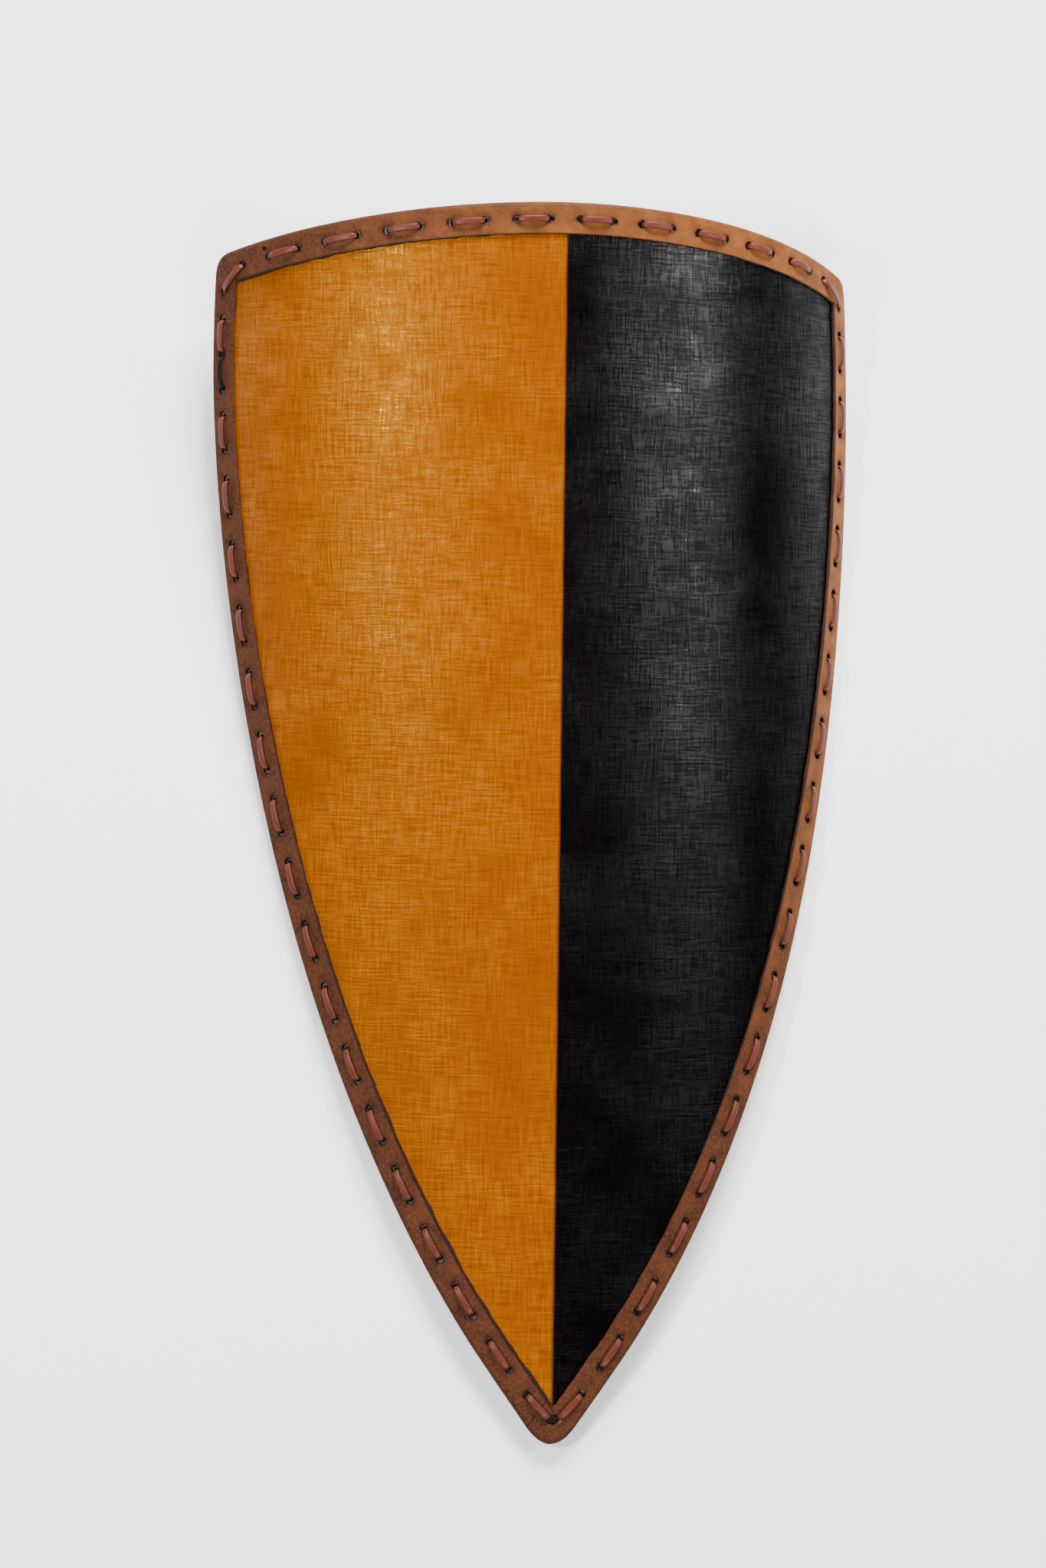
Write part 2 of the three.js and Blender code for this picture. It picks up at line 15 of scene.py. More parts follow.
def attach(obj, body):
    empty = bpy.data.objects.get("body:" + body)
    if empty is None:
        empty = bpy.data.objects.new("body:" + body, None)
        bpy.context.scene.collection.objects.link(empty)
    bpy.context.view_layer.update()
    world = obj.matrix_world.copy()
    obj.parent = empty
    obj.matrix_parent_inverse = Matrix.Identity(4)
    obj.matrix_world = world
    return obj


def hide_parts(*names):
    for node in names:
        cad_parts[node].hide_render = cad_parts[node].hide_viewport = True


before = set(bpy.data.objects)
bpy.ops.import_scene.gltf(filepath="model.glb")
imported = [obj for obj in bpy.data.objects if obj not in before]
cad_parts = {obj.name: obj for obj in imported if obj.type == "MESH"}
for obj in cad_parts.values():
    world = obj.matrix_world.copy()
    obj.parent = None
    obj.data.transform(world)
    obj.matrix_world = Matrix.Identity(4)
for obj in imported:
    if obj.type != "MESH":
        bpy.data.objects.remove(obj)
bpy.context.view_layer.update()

# The shield's own sizes. Levels are shares of the height, counted down from the top corners.

HEIGHT = 0.862
HALF_WIDTH = 0.2847
FACE_RADIUS = 0.2964
BLANK_TURN = -0.0428  # of the outline against the axis of the bend
COVER_TURN = -0.038  # of the canvas, the window and the lacing against it
TOP_ARCH = 0.041
TOP_ARCH_POWER = 1.91
SHOULDER_LEVEL = 0.0965
SHOULDER_TUCK = 0.0036
SIDE_POWER = 1.7155
TIP_POWER = 0.818
SIDE_REACH = 0.9974
STRAIGHT_FROM = 0.931  # the level from which the sides run straight to the tip
CORNER_ROUNDING = 0.0126
TIP_ROUNDING = 0.0318
WINDOW_ROUNDING = 0.003

BOARD_THICKNESS = 0.008
CANVAS_THICKNESS = 0.0005
LEATHER_THICKNESS = 0.0018
CLEARANCE = 0.0003
FOLD_GAP = 0.0006
EDGING_WIDTH = 0.0236
CANVAS_TUCK = 0.005
EDGE_ROUNDING = 0.0035

LACE_WIDTH = 0.0046
LACE_THICKNESS = 0.0013
LACE_RISE = 0.0026  # of a stitch's middle line over the leather
LACE_DIP = 0.0022  # of its ends below the leather's surface
HOLE_RADIUS = 0.0029
START_HOLE_RADIUS = 0.0037
BOARD_SLOT_HALVES = (0.0010, 0.0023)  # of the slot in the board, along the lace and across it
BOARD_SLOT_LEAD = 0.0005  # from the hole's middle toward the stitch on the front
STITCH_LEAD = 0.0012  # by which a stitch on the front ends short of its holes' middles
STRAY_HOLE = {"u": -0.2331, "inset": 0.006, "radius": 0.0012}
TIP_HOLE_HALVES = (0.0062, 0.0042)  # of its width and of its height
TIP_HOLE_LIFT = 0.0024  # of the long hole's middle over the point that both laces run to
HOLE_INSET = 0.0123
STITCH_PITCH = 0.0485  # as near as a row's length allows
STITCH_SHARE = 0.53
TOP_ROW = {"from_left": 0.050, "from_right": 0.0556}
LEFT_ROW_START = 0.116
RIGHT_ROW_START = 0.042
LEFT_START = [0.044, 0.070, 0.0967]
LEFT_CORNER_STITCH = {"across": 0.026, "down": 0.0236}
RIGHT_CORNER_STITCH = {"across": 0.0344, "down": 0.021}
TIP_HOLE_RISE = 0.016
START_STANDOFF = 0.00095
TIP_STANDOFF = 0.00435

STRAP_THICKNESS = 0.003
STRAP_FOOT = 0.034
STRAP_LEVEL = 0.060
FOREARM_STRAP = {"across": 0.083, "width": 0.040, "span": 0.210, "stand_off": 0.072}
HAND_STRAP = {"across": -0.083, "width": 0.032, "span": 0.150, "stand_off": 0.048}
LOOP_LEAN = 0.2
LOOP_FULLNESS = 0.9
SCREW_FROM_STRAP_END = 0.015
SCREW_SHANK_RADIUS = 0.0022
SCREW_DEPTH = 0.006
SCREW_HEAD_RADIUS = 0.007
SCREW_FLANGE = 0.001
SCREW_DOME = 0.003
SCREW_SOCKET_RADIUS = 0.0023
SCREW_SOCKET_DEPTH = 0.002

LEATHER_INSIDE = -LEATHER_THICKNESS
CANVAS_FRONT = LEATHER_INSIDE - CLEARANCE
CANVAS_BACK = CANVAS_FRONT - CANVAS_THICKNESS
BOARD_FRONT = CANVAS_BACK - CLEARANCE
BOARD_BACK = BOARD_FRONT - BOARD_THICKNESS
LEATHER_BACK = BOARD_BACK - CLEARANCE - LEATHER_THICKNESS
STRAP_FRONT = BOARD_BACK - CLEARANCE
STRAP_BACK = STRAP_FRONT - STRAP_THICKNESS
BOARD_INSET = LEATHER_THICKNESS + FOLD_GAP
CANVAS_INSET = EDGING_WIDTH - CANVAS_TUCK
TIP_LEVEL = -HEIGHT / 2

# How finely lines and surfaces are divided

LINE_POINTS = 500
TOP_COUNT = 300
SIDE_COUNT = 420
CORNER_COUNT = 16
TIP_COUNT = 36
SHEET_COLUMNS = 120
SHEET_ROWS = 180
BAR_SIDES = 20

# The lines that the outline is cut from, which run on past its corners so that they cross

SIDE_LEVELS = (-0.03, 1.04)
TOP_OVERRUN = 1.08
HOLE_LEVELS = (0.0, 1.02)  # of the line down each side that its holes are measured along
SMALLEST_CROSS = 1e-15  # below which two stretches count as parallel

# The place of the layout in the frame, read from the CAD pieces


def corners_of(node):
    """All corners of a CAD node, one a row."""
    return np.array([corner.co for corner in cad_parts[node].data.vertices])


def lie_of_the_shield():
    """The directions of x, v and n at the crest, and where the layout's middle lies."""
    owners = ("forearm", "hand")
    upper, lower = ([corners_of(f"{owner}_screw_{end}").mean(axis=0) for owner in owners]
                    for end in ("upper", "lower"))
    up = (upper[0] - lower[0]) / np.linalg.norm(upper[0] - lower[0])
    forearm, hand = (np.array(upper) + lower) / 2
    across = forearm - hand - ((forearm - hand) @ up) * up
    across /= np.linalg.norm(across)
    out = np.cross(across, up)
    side = (forearm + hand) @ across / 2
    level = forearm @ up - STRAP_LEVEL
    crest = (corners_of("leather_edging") @ out).max()
    return np.array([across, up, out]), across * side + up * level + out * crest


AXES, PLACE = lie_of_the_shield()


def bent(layout):
    """Turns points of the layout (u, v, n) into points of the frame."""
    u, v, n = np.moveaxis(np.asarray(layout, float), -1, 0)
    radius = FACE_RADIUS + n
    turn = u / FACE_RADIUS
    local = np.stack([radius * np.sin(turn), v, radius * np.cos(turn) - FACE_RADIUS], -1)
    return local @ AXES + PLACE


def unbent(points):
    """Turns points of the frame back into points of the layout."""
    local = (np.asarray(points, float) - PLACE) @ AXES.T
    x, v, z = np.moveaxis(local, -1, 0)
    turn = np.arctan2(x, z + FACE_RADIUS)
    return np.stack([turn * FACE_RADIUS, v, np.hypot(x, z + FACE_RADIUS) - FACE_RADIUS], -1)


# The outline


def curved_width(level):
    """Half the width at a level, with the sides curved all the way down."""
    below = np.clip((level - SHOULDER_LEVEL) / (SIDE_REACH - SHOULDER_LEVEL), 0, 1)
    above = np.maximum(0, (SHOULDER_LEVEL - level) / SHOULDER_LEVEL)
    return HALF_WIDTH * (1 - below ** SIDE_POWER) ** TIP_POWER - SHOULDER_TUCK * above ** 2


def half_width(level):
    """Half the width at a level, where the sides end straight."""
    step = 0.001
    end = curved_width(STRAIGHT_FROM)
    slope = (end - curved_width(STRAIGHT_FROM - step)) / step
    return np.where(level < STRAIGHT_FROM, curved_width(level), end + slope * (level - STRAIGHT_FROM))


def side_line(side):
    """One side edge from above its corner down past the tip."""
    level = np.linspace(*SIDE_LEVELS, LINE_POINTS)
    return np.stack([side * half_width(level), HEIGHT * (0.5 - level)], -1)


def top_line():
    """The top edge from left to right, run on past both corners."""
    width = half_width(0)
    u = np.linspace(-TOP_OVERRUN * width, TOP_OVERRUN * width, LINE_POINTS)
    return np.stack([u, HEIGHT / 2 + TOP_ARCH * (1 - np.abs(u / width) ** TOP_ARCH_POWER)], -1)


def turned(points, angle):
    """Points of the flat layout turned about its middle."""
    across, along = math.cos(angle), math.sin(angle)
    return np.asarray(points) @ [[across, along], [-along, across]]


def moved_in(line, inset):
    """A line moved to its right as it runs, which is inward on a clockwise edge."""
    along = np.gradient(line, axis=0)
    along /= np.linalg.norm(along, axis=1, keepdims=True)
    return line + inset * np.stack([along[:, 1], -along[:, 0]], -1)


def crossed(a, b):
    return a[..., 0] * b[..., 1] - a[..., 1] * b[..., 0]


def meeting(one, other):
    """Where two lines first cross, as places along each, counted in points."""
    run = np.diff(one, axis=0)[:, None]
    other_run = np.diff(other, axis=0)[None]
    gap = other[None, :-1] - one[:-1, None]
    scale = crossed(run, other_run)
    scale = np.where(np.abs(scale) < SMALLEST_CROSS, SMALLEST_CROSS, scale)
    along = crossed(gap, other_run) / scale
    other_along = crossed(gap, run) / scale
    hits = np.argwhere((along >= 0) & (along < 1) & (other_along >= 0) & (other_along < 1))
    i, j = hits[0]
    return i + along[i, j], j + other_along[i, j]


def lengths_along(line):
    return np.concatenate([[0], np.cumsum(np.linalg.norm(np.diff(line, axis=0), axis=1))])


def point_at(line, lengths, length):
    return np.stack([np.interp(length, lengths, line[:, axis]) for axis in range(line.shape[1])], -1)


def stretch(line, start, end, trim_start, trim_end, count):
    """Evenly spaced points between two places on a line, less a length trimmed off each end."""
    lengths = lengths_along(line)
    first, last = np.interp([start, end], np.arange(len(line)), lengths)
    return point_at(line, lengths, np.linspace(first + trim_start, last - trim_end, count))


def rounded(before, corner, after, count):
    """Points inside a corner's curve, between the edges' trimmed ends."""
    t = np.linspace(0, 1, count + 2)[1:-1, None]
    return (1 - t) ** 2 * before + 2 * t * (1 - t) * corner + t ** 2 * after


def rim_stretches(inset):
    """The rim moved inward: its top, right corner, right side, tip, left side and left corner, clockwise.

    It lies as the blank does at the rim, and as the cover does at the window.
    """
    share = inset / EDGING_WIDTH
    corner_rounding = CORNER_ROUNDING + (WINDOW_ROUNDING - CORNER_ROUNDING) * share
    tip_rounding = TIP_ROUNDING + (WINDOW_ROUNDING - TIP_ROUNDING) * share
    top = moved_in(top_line(), inset)
    right = moved_in(side_line(1), inset)
    left = moved_in(side_line(-1)[::-1], inset)
    top_end, right_start = meeting(top, right)
    right_end, left_start = meeting(right, left)
    left_end, top_start = meeting(left, top)
    top_part = stretch(top, top_start, top_end, corner_rounding, corner_rounding, TOP_COUNT)
    right_part = stretch(right, right_start, right_end, corner_rounding, tip_rounding, SIDE_COUNT)
    left_part = stretch(left, left_start, left_end, tip_rounding, corner_rounding, SIDE_COUNT)
    spots = np.arange(LINE_POINTS)
    right_corner = point_at(top, spots, top_end)
    tip = point_at(right, spots, right_end)
    left_corner = point_at(left, spots, left_end)
    stretches = [
        top_part,
        rounded(top_part[-1], right_corner, right_part[0], CORNER_COUNT),
        right_part,
        rounded(right_part[-1], tip, left_part[0], TIP_COUNT),
        left_part,
        rounded(left_part[-1], left_corner, top_part[0], CORNER_COUNT),
    ]
    turn = BLANK_TURN + (COVER_TURN - BLANK_TURN) * share
    return [turned(line, turn) for line in stretches]


def rim_loop(inset):
    return np.concatenate(rim_stretches(inset))


# The lace holes, each lace's in the order in which it meets them

side_lengths = {}
for side in (-1, 1):
    level = np.linspace(*HOLE_LEVELS, 2 * LINE_POINTS)
    line = np.stack([side * half_width(level), HEIGHT * (0.5 - level)], -1)
    holes_line = moved_in(line if side > 0 else line[::-1], HOLE_INSET)
    side_lengths[side] = (holes_line if side > 0 else holes_line[::-1], lengths_along(line))


def side_hole(distance, side):
    line, lengths = side_lengths[side]
    return point_at(line, lengths, distance)


def top_hole(u):
    line = top_line()
    return point_at(moved_in(line, HOLE_INSET), line[:, 0], u)


def row_of_stitches(first, last):
    """Evenly spaced hole distances, two to a stitch, where the last one ends at the row's end."""
    stitches = round((last - first) / STITCH_PITCH - STITCH_SHARE) + 1
    pitch = (last - first) / (stitches - 1 + STITCH_SHARE)
    starts = first + pitch * np.arange(stitches)
    return np.stack([starts, starts + STITCH_SHARE * pitch], -1).ravel()


corner_reach = float(half_width(0))
tip_hole = np.array([0, TIP_LEVEL + TIP_HOLE_RISE])
right_line, right_lengths = side_lengths[1]
side_end = np.interp(-tip_hole[1], -right_line[:, 1], right_lengths)


def side_row(first, side):
    holes = [side_hole(at, side) for at in row_of_stitches(first, side_end)]
    return holes[:-1] + [tip_hole]


def corner_holes(stitch, side):
    return [top_hole(side * (corner_reach - stitch["across"])), side_hole(stitch["down"], side)]


left_start = [side_hole(at, -1) for at in LEFT_START]
top_row = row_of_stitches(TOP_ROW["from_left"] - corner_reach, corner_reach - TOP_ROW["from_right"])
flat_left_lace = left_start[1:] + side_row(LEFT_ROW_START, -1)
flat_main_lace = left_start[1::-1] + corner_holes(LEFT_CORNER_STITCH, -1)[::-1]
flat_main_lace += [top_hole(u) for u in top_row]
flat_main_lace += corner_holes(RIGHT_CORNER_STITCH, 1) + side_row(RIGHT_ROW_START, 1)
left_lace_holes = turned(flat_left_lace, COVER_TURN)
main_lace_holes = turned(flat_main_lace, COVER_TURN)
own_holes = np.concatenate([left_lace_holes[1:-1], main_lace_holes[1:-1]])
tip_hole_middle = turned(tip_hole + [0, TIP_HOLE_LIFT], COVER_TURN)
all_holes = np.concatenate([own_holes, [left_lace_holes[0], tip_hole_middle]])
shared_halves = [(START_HOLE_RADIUS,) * 2, TIP_HOLE_HALVES]
hole_halves = np.array([(HOLE_RADIUS,) * 2] * len(own_holes) + shared_halves)
board_halves = np.array([BOARD_SLOT_HALVES] * len(own_holes) + shared_halves)


def ways_to_front(holes):
    """From each hole between a lace's ends, the way along its stitch on the front."""
    runs = np.diff(holes, axis=0)
    runs /= np.linalg.norm(runs, axis=1, keepdims=True)
    return np.array([-runs[i - 1] if i % 2 else runs[i] for i in range(1, len(holes) - 1)])


shared_ways = np.zeros((2, 2))
front_ways = np.concatenate([ways_to_front(left_lace_holes), ways_to_front(main_lace_holes), shared_ways])
board_slots = all_holes + BOARD_SLOT_LEAD * front_ways
hole_turns = np.arctan2(front_ways[:, 1], front_ways[:, 0])
stray_line = moved_in(top_line(), STRAY_HOLE["inset"])
stray_hole = turned(point_at(stray_line, top_line()[:, 0], STRAY_HOLE["u"]), COVER_TURN)

# Meshes


def grid_faces(rows, columns, rows_close=False, columns_close=False):
    """The quads of a grid of points, as rows of point numbers."""
    r = np.arange(rows if rows_close else rows - 1)[:, None]
    c = np.arange(columns if columns_close else columns - 1)[None]
    next_r = (r + 1) % rows
    next_c = (c + 1) % columns
    quads = [r * columns + c, r * columns + next_c, next_r * columns + next_c, next_r * columns + c]
    return np.stack(quads, -1).reshape(-1, 4).tolist()


def plain_object(name, layout, faces):
    """A new closed object from points of the layout."""
    mesh = bpy.data.meshes.new(name)
    mesh.from_pydata(bent(layout).tolist(), [], faces)
    shape = bmesh.new()
    shape.from_mesh(mesh)
    bmesh.ops.recalc_face_normals(shape, faces=shape.faces)
    shape.to_mesh(mesh)
    shape.free()
    piece = bpy.data.objects.new(name, mesh)
    bpy.context.scene.collection.objects.link(piece)
    return piece


def cut_holes(piece, cutter):
    """Takes the cutter's solids out of a piece, and removes the cutter."""
    modifier = piece.modifiers.new("holes", "BOOLEAN")
    modifier.object = cutter
    modifier.solver = "MANIFOLD"
    graph = bpy.context.evaluated_depsgraph_get()
    piece.data = bpy.data.meshes.new_from_object(piece.evaluated_get(graph))
    piece.modifiers.clear()
    bpy.data.objects.remove(cutter)


def add_points_attribute(piece, name, kind, values):
    attribute = piece.data.attributes.new(name, kind, "POINT")
    field = "vector" if kind == "FLOAT_VECTOR" else "value"
    attribute.data.foreach_set(field, np.ravel(values).astype(np.float32))


def layout_of(piece):
    corners = np.empty(3 * len(piece.data.vertices))
    piece.data.vertices.foreach_get("co", corners)
    return unbent(corners.reshape(-1, 3))


def dress(piece, replaced, material, sharp_from=math.radians(40)):
    """Finishes a piece: its shading, its layout for the textures, and its place among the parts."""
    piece.data.shade_smooth()
    piece.data.set_sharp_from_angle(angle=sharp_from)
    layout = layout_of(piece)
    layout[:, :2] = turned(layout[:, :2], -COVER_TURN)
    add_points_attribute(piece, "layout", "FLOAT_VECTOR", layout)
    piece.data.materials.clear()
    piece.data.materials.append(material)
    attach(piece, "root")
    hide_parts(replaced)


def nearest(points, places):
    """The distance from each point to the nearest of some places."""
    best = np.full(len(points), np.inf)
    for place in places:
        best = np.minimum(best, np.hypot(points[:, 0] - place[0], points[:, 1] - place[1]))
    return best


def noise_over(points, scale, seed):
    """Smooth noise about zero, as a function of the layout."""
    spots = np.column_stack([points[:, 0] * scale, points[:, 1] * scale, np.full(len(points), seed)])
    return np.array([noise.noise(Vector(spot)) for spot in spots])


# Materials


class Shader:
    """A material of nodes round one Principled shader, with a short call for each kind of node."""

    def __init__(self, name):
        self.material = bpy.data.materials.new(name)
        self.material.use_nodes = True
        self.tree = self.material.node_tree
        self.surface = self.tree.nodes["Principled BSDF"]

    def node(self, kind, inputs=(), **settings):
        made = self.tree.nodes.new("ShaderNode" + kind)
        for name, value in settings.items():
            setattr(made, name, value)
        for place, value in dict(inputs).items():
            self.set(made.inputs[place], value)
        return made

    def set(self, socket, value):
        if isinstance(value, bpy.types.NodeSocket):
            self.tree.links.new(value, socket)
        else:
            socket.default_value = value

    def finish(self, name, value):
        self.set(self.surface.inputs[name], value)

    def attribute(self, name, output="Vector"):
        return self.node("Attribute", attribute_name=name).outputs[output]

    def math(self, operation, a, b=0.0, c=0.0):
        return self.node("Math", {0: a, 1: b, 2: c}, operation=operation).outputs[0]

    def scaled(self, vector, factors):
        return self.node("VectorMath", {0: vector, 1: factors}, operation="MULTIPLY").outputs[0]

    def moved(self, vector, offset):
        return self.node("VectorMath", {0: vector, 1: offset}, operation="ADD").outputs[0]

    def parts(self, vector):
        return self.node("SeparateXYZ", {0: vector}).outputs

    def noise(self, vector, scale, detail=3.0, roughness=0.5, output="Factor"):
        inputs = {"Vector": vector, "Scale": scale, "Detail": detail, "Roughness": roughness}
        made = self.node("TexNoise", inputs)
        return made.outputs["Color" if output == "Color" else 0]

    def between(self, value, low, high, to_low=0.0, to_high=1.0, smooth=False):
        inputs = {"Value": value, "From Min": low, "From Max": high, "To Min": to_low, "To Max": to_high}
        kind = "SMOOTHSTEP" if smooth else "LINEAR"
        return self.node("MapRange", inputs, interpolation_type=kind).outputs[0]

    def mix(self, factor, a, b):
        made = self.node("Mix", data_type="RGBA")
        self.set(made.inputs[0], factor)
        self.set(made.inputs[6], a)
        self.set(made.inputs[7], b)
        return made.outputs[2]

    def stroke(self, vector, start, end, width):
        """One on a straight line between two places of the layout, and nothing a width away from it."""
        run = Vector((*end, 0.0)) - Vector((*start, 0.0))
        length = run.length
        along, beside = run / length, Vector((-run.y, run.x, 0.0)) / length
        flat = self.scaled(self.moved(vector, (-start[0], -start[1], 0.0)), (1.0, 1.0, 0.0))
        place = self.node("VectorMath", {0: flat, 1: along}, operation="DOT_PRODUCT").outputs["Value"]
        off = self.node("VectorMath", {0: flat, 1: beside}, operation="DOT_PRODUCT").outputs["Value"]
        near = self.between(self.math("ABSOLUTE", off), 0.0, width, 1.0, 0.0, smooth=True)
        middle = self.math("ABSOLUTE", self.math("SUBTRACT", place, length / 2))
        return self.math("MULTIPLY", near, self.between(middle, length / 2, length / 2 + width, 1.0, 0.0))

    def bump(self, height, distance, strength=1.0):
        inputs = {"Height": height, "Distance": distance, "Strength": strength}
        self.finish("Normal", self.node("Bump", inputs).outputs[0])


def srgb(red, green, blue):
    """A colour given as it looks on a screen, from 0 to 255, as linear light."""
    def linear(value):
        value /= 255
        return value / 12.92 if value <= 0.04045 else ((value + 0.055) / 1.055) ** 2.4
    return (linear(red), linear(green), linear(blue), 1.0)


# Colours. A pair is the two that a texture runs between.

ORANGE_HOLLOWS = srgb(106, 50, 1)
ORANGE_THREADS = srgb(142, 78, 6)
ORANGE_SHADE = srgb(104, 49, 1)
ORANGE_SPECKS = srgb(78, 36, 3)
ORANGE_SHINE = (1.0, 0.54, 0.05, 1.0)
BLACK_HOLLOWS = srgb(2, 1, 2)
BLACK_THREADS = srgb(7, 6, 6)
BLACK_SPECKS = srgb(22, 19, 18)
BLACK_SHINE = (1.0, 0.95, 0.95, 1.0)
BROWN_LEATHER = (srgb(38, 15, 7), srgb(68, 32, 14))
# painted light: the lit tan that the leather turns to toward the upper right
LEATHER_PAINTED_LIGHT = (srgb(92, 48, 18), srgb(128, 76, 32))
LEATHER_GRAIN = srgb(112, 66, 32)
LEATHER_TURN = srgb(40, 18, 9)
# painted shadow for the window's cut edge
LEATHER_CUT_SHADOW = srgb(18, 8, 5)
# painted shade for the dimples round the holes and for the creases
LEATHER_PAINTED_SHADE = srgb(20, 9, 5)
LEATHER_HOLE_SHADE = srgb(5, 3, 2)
RED_THONG = (srgb(60, 18, 9), srgb(92, 35, 18))
THONG_SHADE = srgb(78, 28, 14)
DARK_THONG = srgb(12, 11, 12)
STRAP_LEATHER = (srgb(96, 56, 34), srgb(130, 80, 50))
STRAP_GRAIN = srgb(150, 98, 62)
WOOD_RINGS = (srgb(206, 170, 122), srgb(178, 134, 86))
WOOD_PORES = srgb(140, 98, 58)
WOOD_HOLE_SHADE = srgb(6, 4, 3)
STEEL = (srgb(150, 150, 150), srgb(190, 188, 184))

THREAD_WAVES = (42.0, 620.0)  # to a metre, along a thread and across it
FADE_LEVELS = (-0.30, 0.35)  # the heights between which the paint's gloss grows
FADE_SIDES = (0.11, 0.17)  # the places between which it drops toward the right edge
PAINTED_LIGHT_SLANT = 0.6  # how much a place's height adds to its u in the painted light that turns the leather from brown to a lit tan toward the upper right
PAINTED_LIGHT_RANGE = (-0.02, 0.46)

PARTING = -0.0010  # of the two colours, from the cover's middle line
PARTING_BLUR = 0.0016
PARTING_WANDER = 0.0010

# Lines pressed into the leather, drawn as a bump with painted shade along them, each as its two ends in
# the cover's
# layout and its half width: the lap at the tip, two creases at the right corner and a nick at the left one
CREASES = [
    ((-0.0016, -0.3933), (-0.0192, -0.4170), 0.0010),
    ((0.2765, 0.4268), (0.2638, 0.4183), 0.0008),
    ((0.2700, 0.4261), (0.2748, 0.4182), 0.0008),
    ((-0.2757, 0.4338), (-0.2699, 0.4271), 0.0009),
]


def painted_canvas_look():
    """Orange and black paint on canvas, glossier on its threads, toward the top and off the right edge."""
    look = Shader("painted_canvas")
    layout = look.attribute("layout")
    drift = look.noise(layout, 30.0, detail=2.0, output="Color")
    wander = look.scaled(look.moved(drift, (-0.5, -0.5, -0.5)), (0.003, 0.003, 0.0))
    place = look.moved(layout, wander)
    across = look.noise(look.scaled(place, (*THREAD_WAVES, 1.0)), 1.0, detail=4.0, roughness=0.6)
    up = look.noise(look.scaled(place, (*THREAD_WAVES[::-1], 1.0)), 1.0, detail=4.0, roughness=0.6)
    threads = look.math("MULTIPLY", look.math("ADD", across, up), 0.5)
    patches = look.between(look.noise(layout, 14.0, detail=3.0), 0.35, 0.65)
    strokes = look.between(threads, 0.40, 0.62)
    strokes = look.math("MULTIPLY", strokes, look.math("MULTIPLY_ADD", patches, 0.7, 0.5))
    specks = look.between(look.noise(layout, 420.0, detail=2.0), 0.66, 0.74)
    broad = look.noise(layout, 5.0, detail=2.0)
    orange = look.mix(strokes, ORANGE_HOLLOWS, ORANGE_THREADS)
    orange = look.mix(look.between(broad, 0.3, 0.7, 0.0, 0.35), orange, ORANGE_SHADE)
    orange = look.mix(look.math("MULTIPLY", specks, 0.35), orange, ORANGE_SPECKS)
    black = look.mix(strokes, BLACK_HOLLOWS, BLACK_THREADS)
    black = look.mix(look.math("MULTIPLY", specks, 0.4), black, BLACK_SPECKS)
    u = look.math("MULTIPLY", look.parts(drift)[0], PARTING_WANDER)
    u = look.math("ADD", look.parts(layout)[0], u)
    half = look.between(u, PARTING - PARTING_BLUR, PARTING + PARTING_BLUR, smooth=True)
    look.finish("Base Color", look.mix(half, orange, black))
    sweeps = look.noise(look.scaled(place, (9.0, 60.0, 1.0)), 1.0, detail=4.0, roughness=0.65)
    look.finish("Roughness", look.between(threads, 0.35, 0.65, 0.34, 0.20))
    gloss = look.between(half, 0.0, 1.0, 0.3, 0.15)
    gloss = look.math("MULTIPLY", gloss, look.between(sweeps, 0.3, 0.7, 0.62, 1.25))
    gloss = look.math("MULTIPLY", gloss, look.between(threads, 0.42, 0.60, 0.45, 1.6))
    fade_down = look.between(look.parts(layout)[1], *FADE_LEVELS, 0.35, 1.15)
    fade_out = look.between(look.parts(layout)[0], *FADE_SIDES, 1.0, 0.22, smooth=True)
    gloss = look.math("MULTIPLY", gloss, look.math("MULTIPLY", fade_down, fade_out))
    look.finish("Specular IOR Level", gloss)
    look.finish("Specular Tint", look.mix(half, ORANGE_SHINE, BLACK_SHINE))
    look.bump(strokes, 0.00022, 0.9)
    return look.material


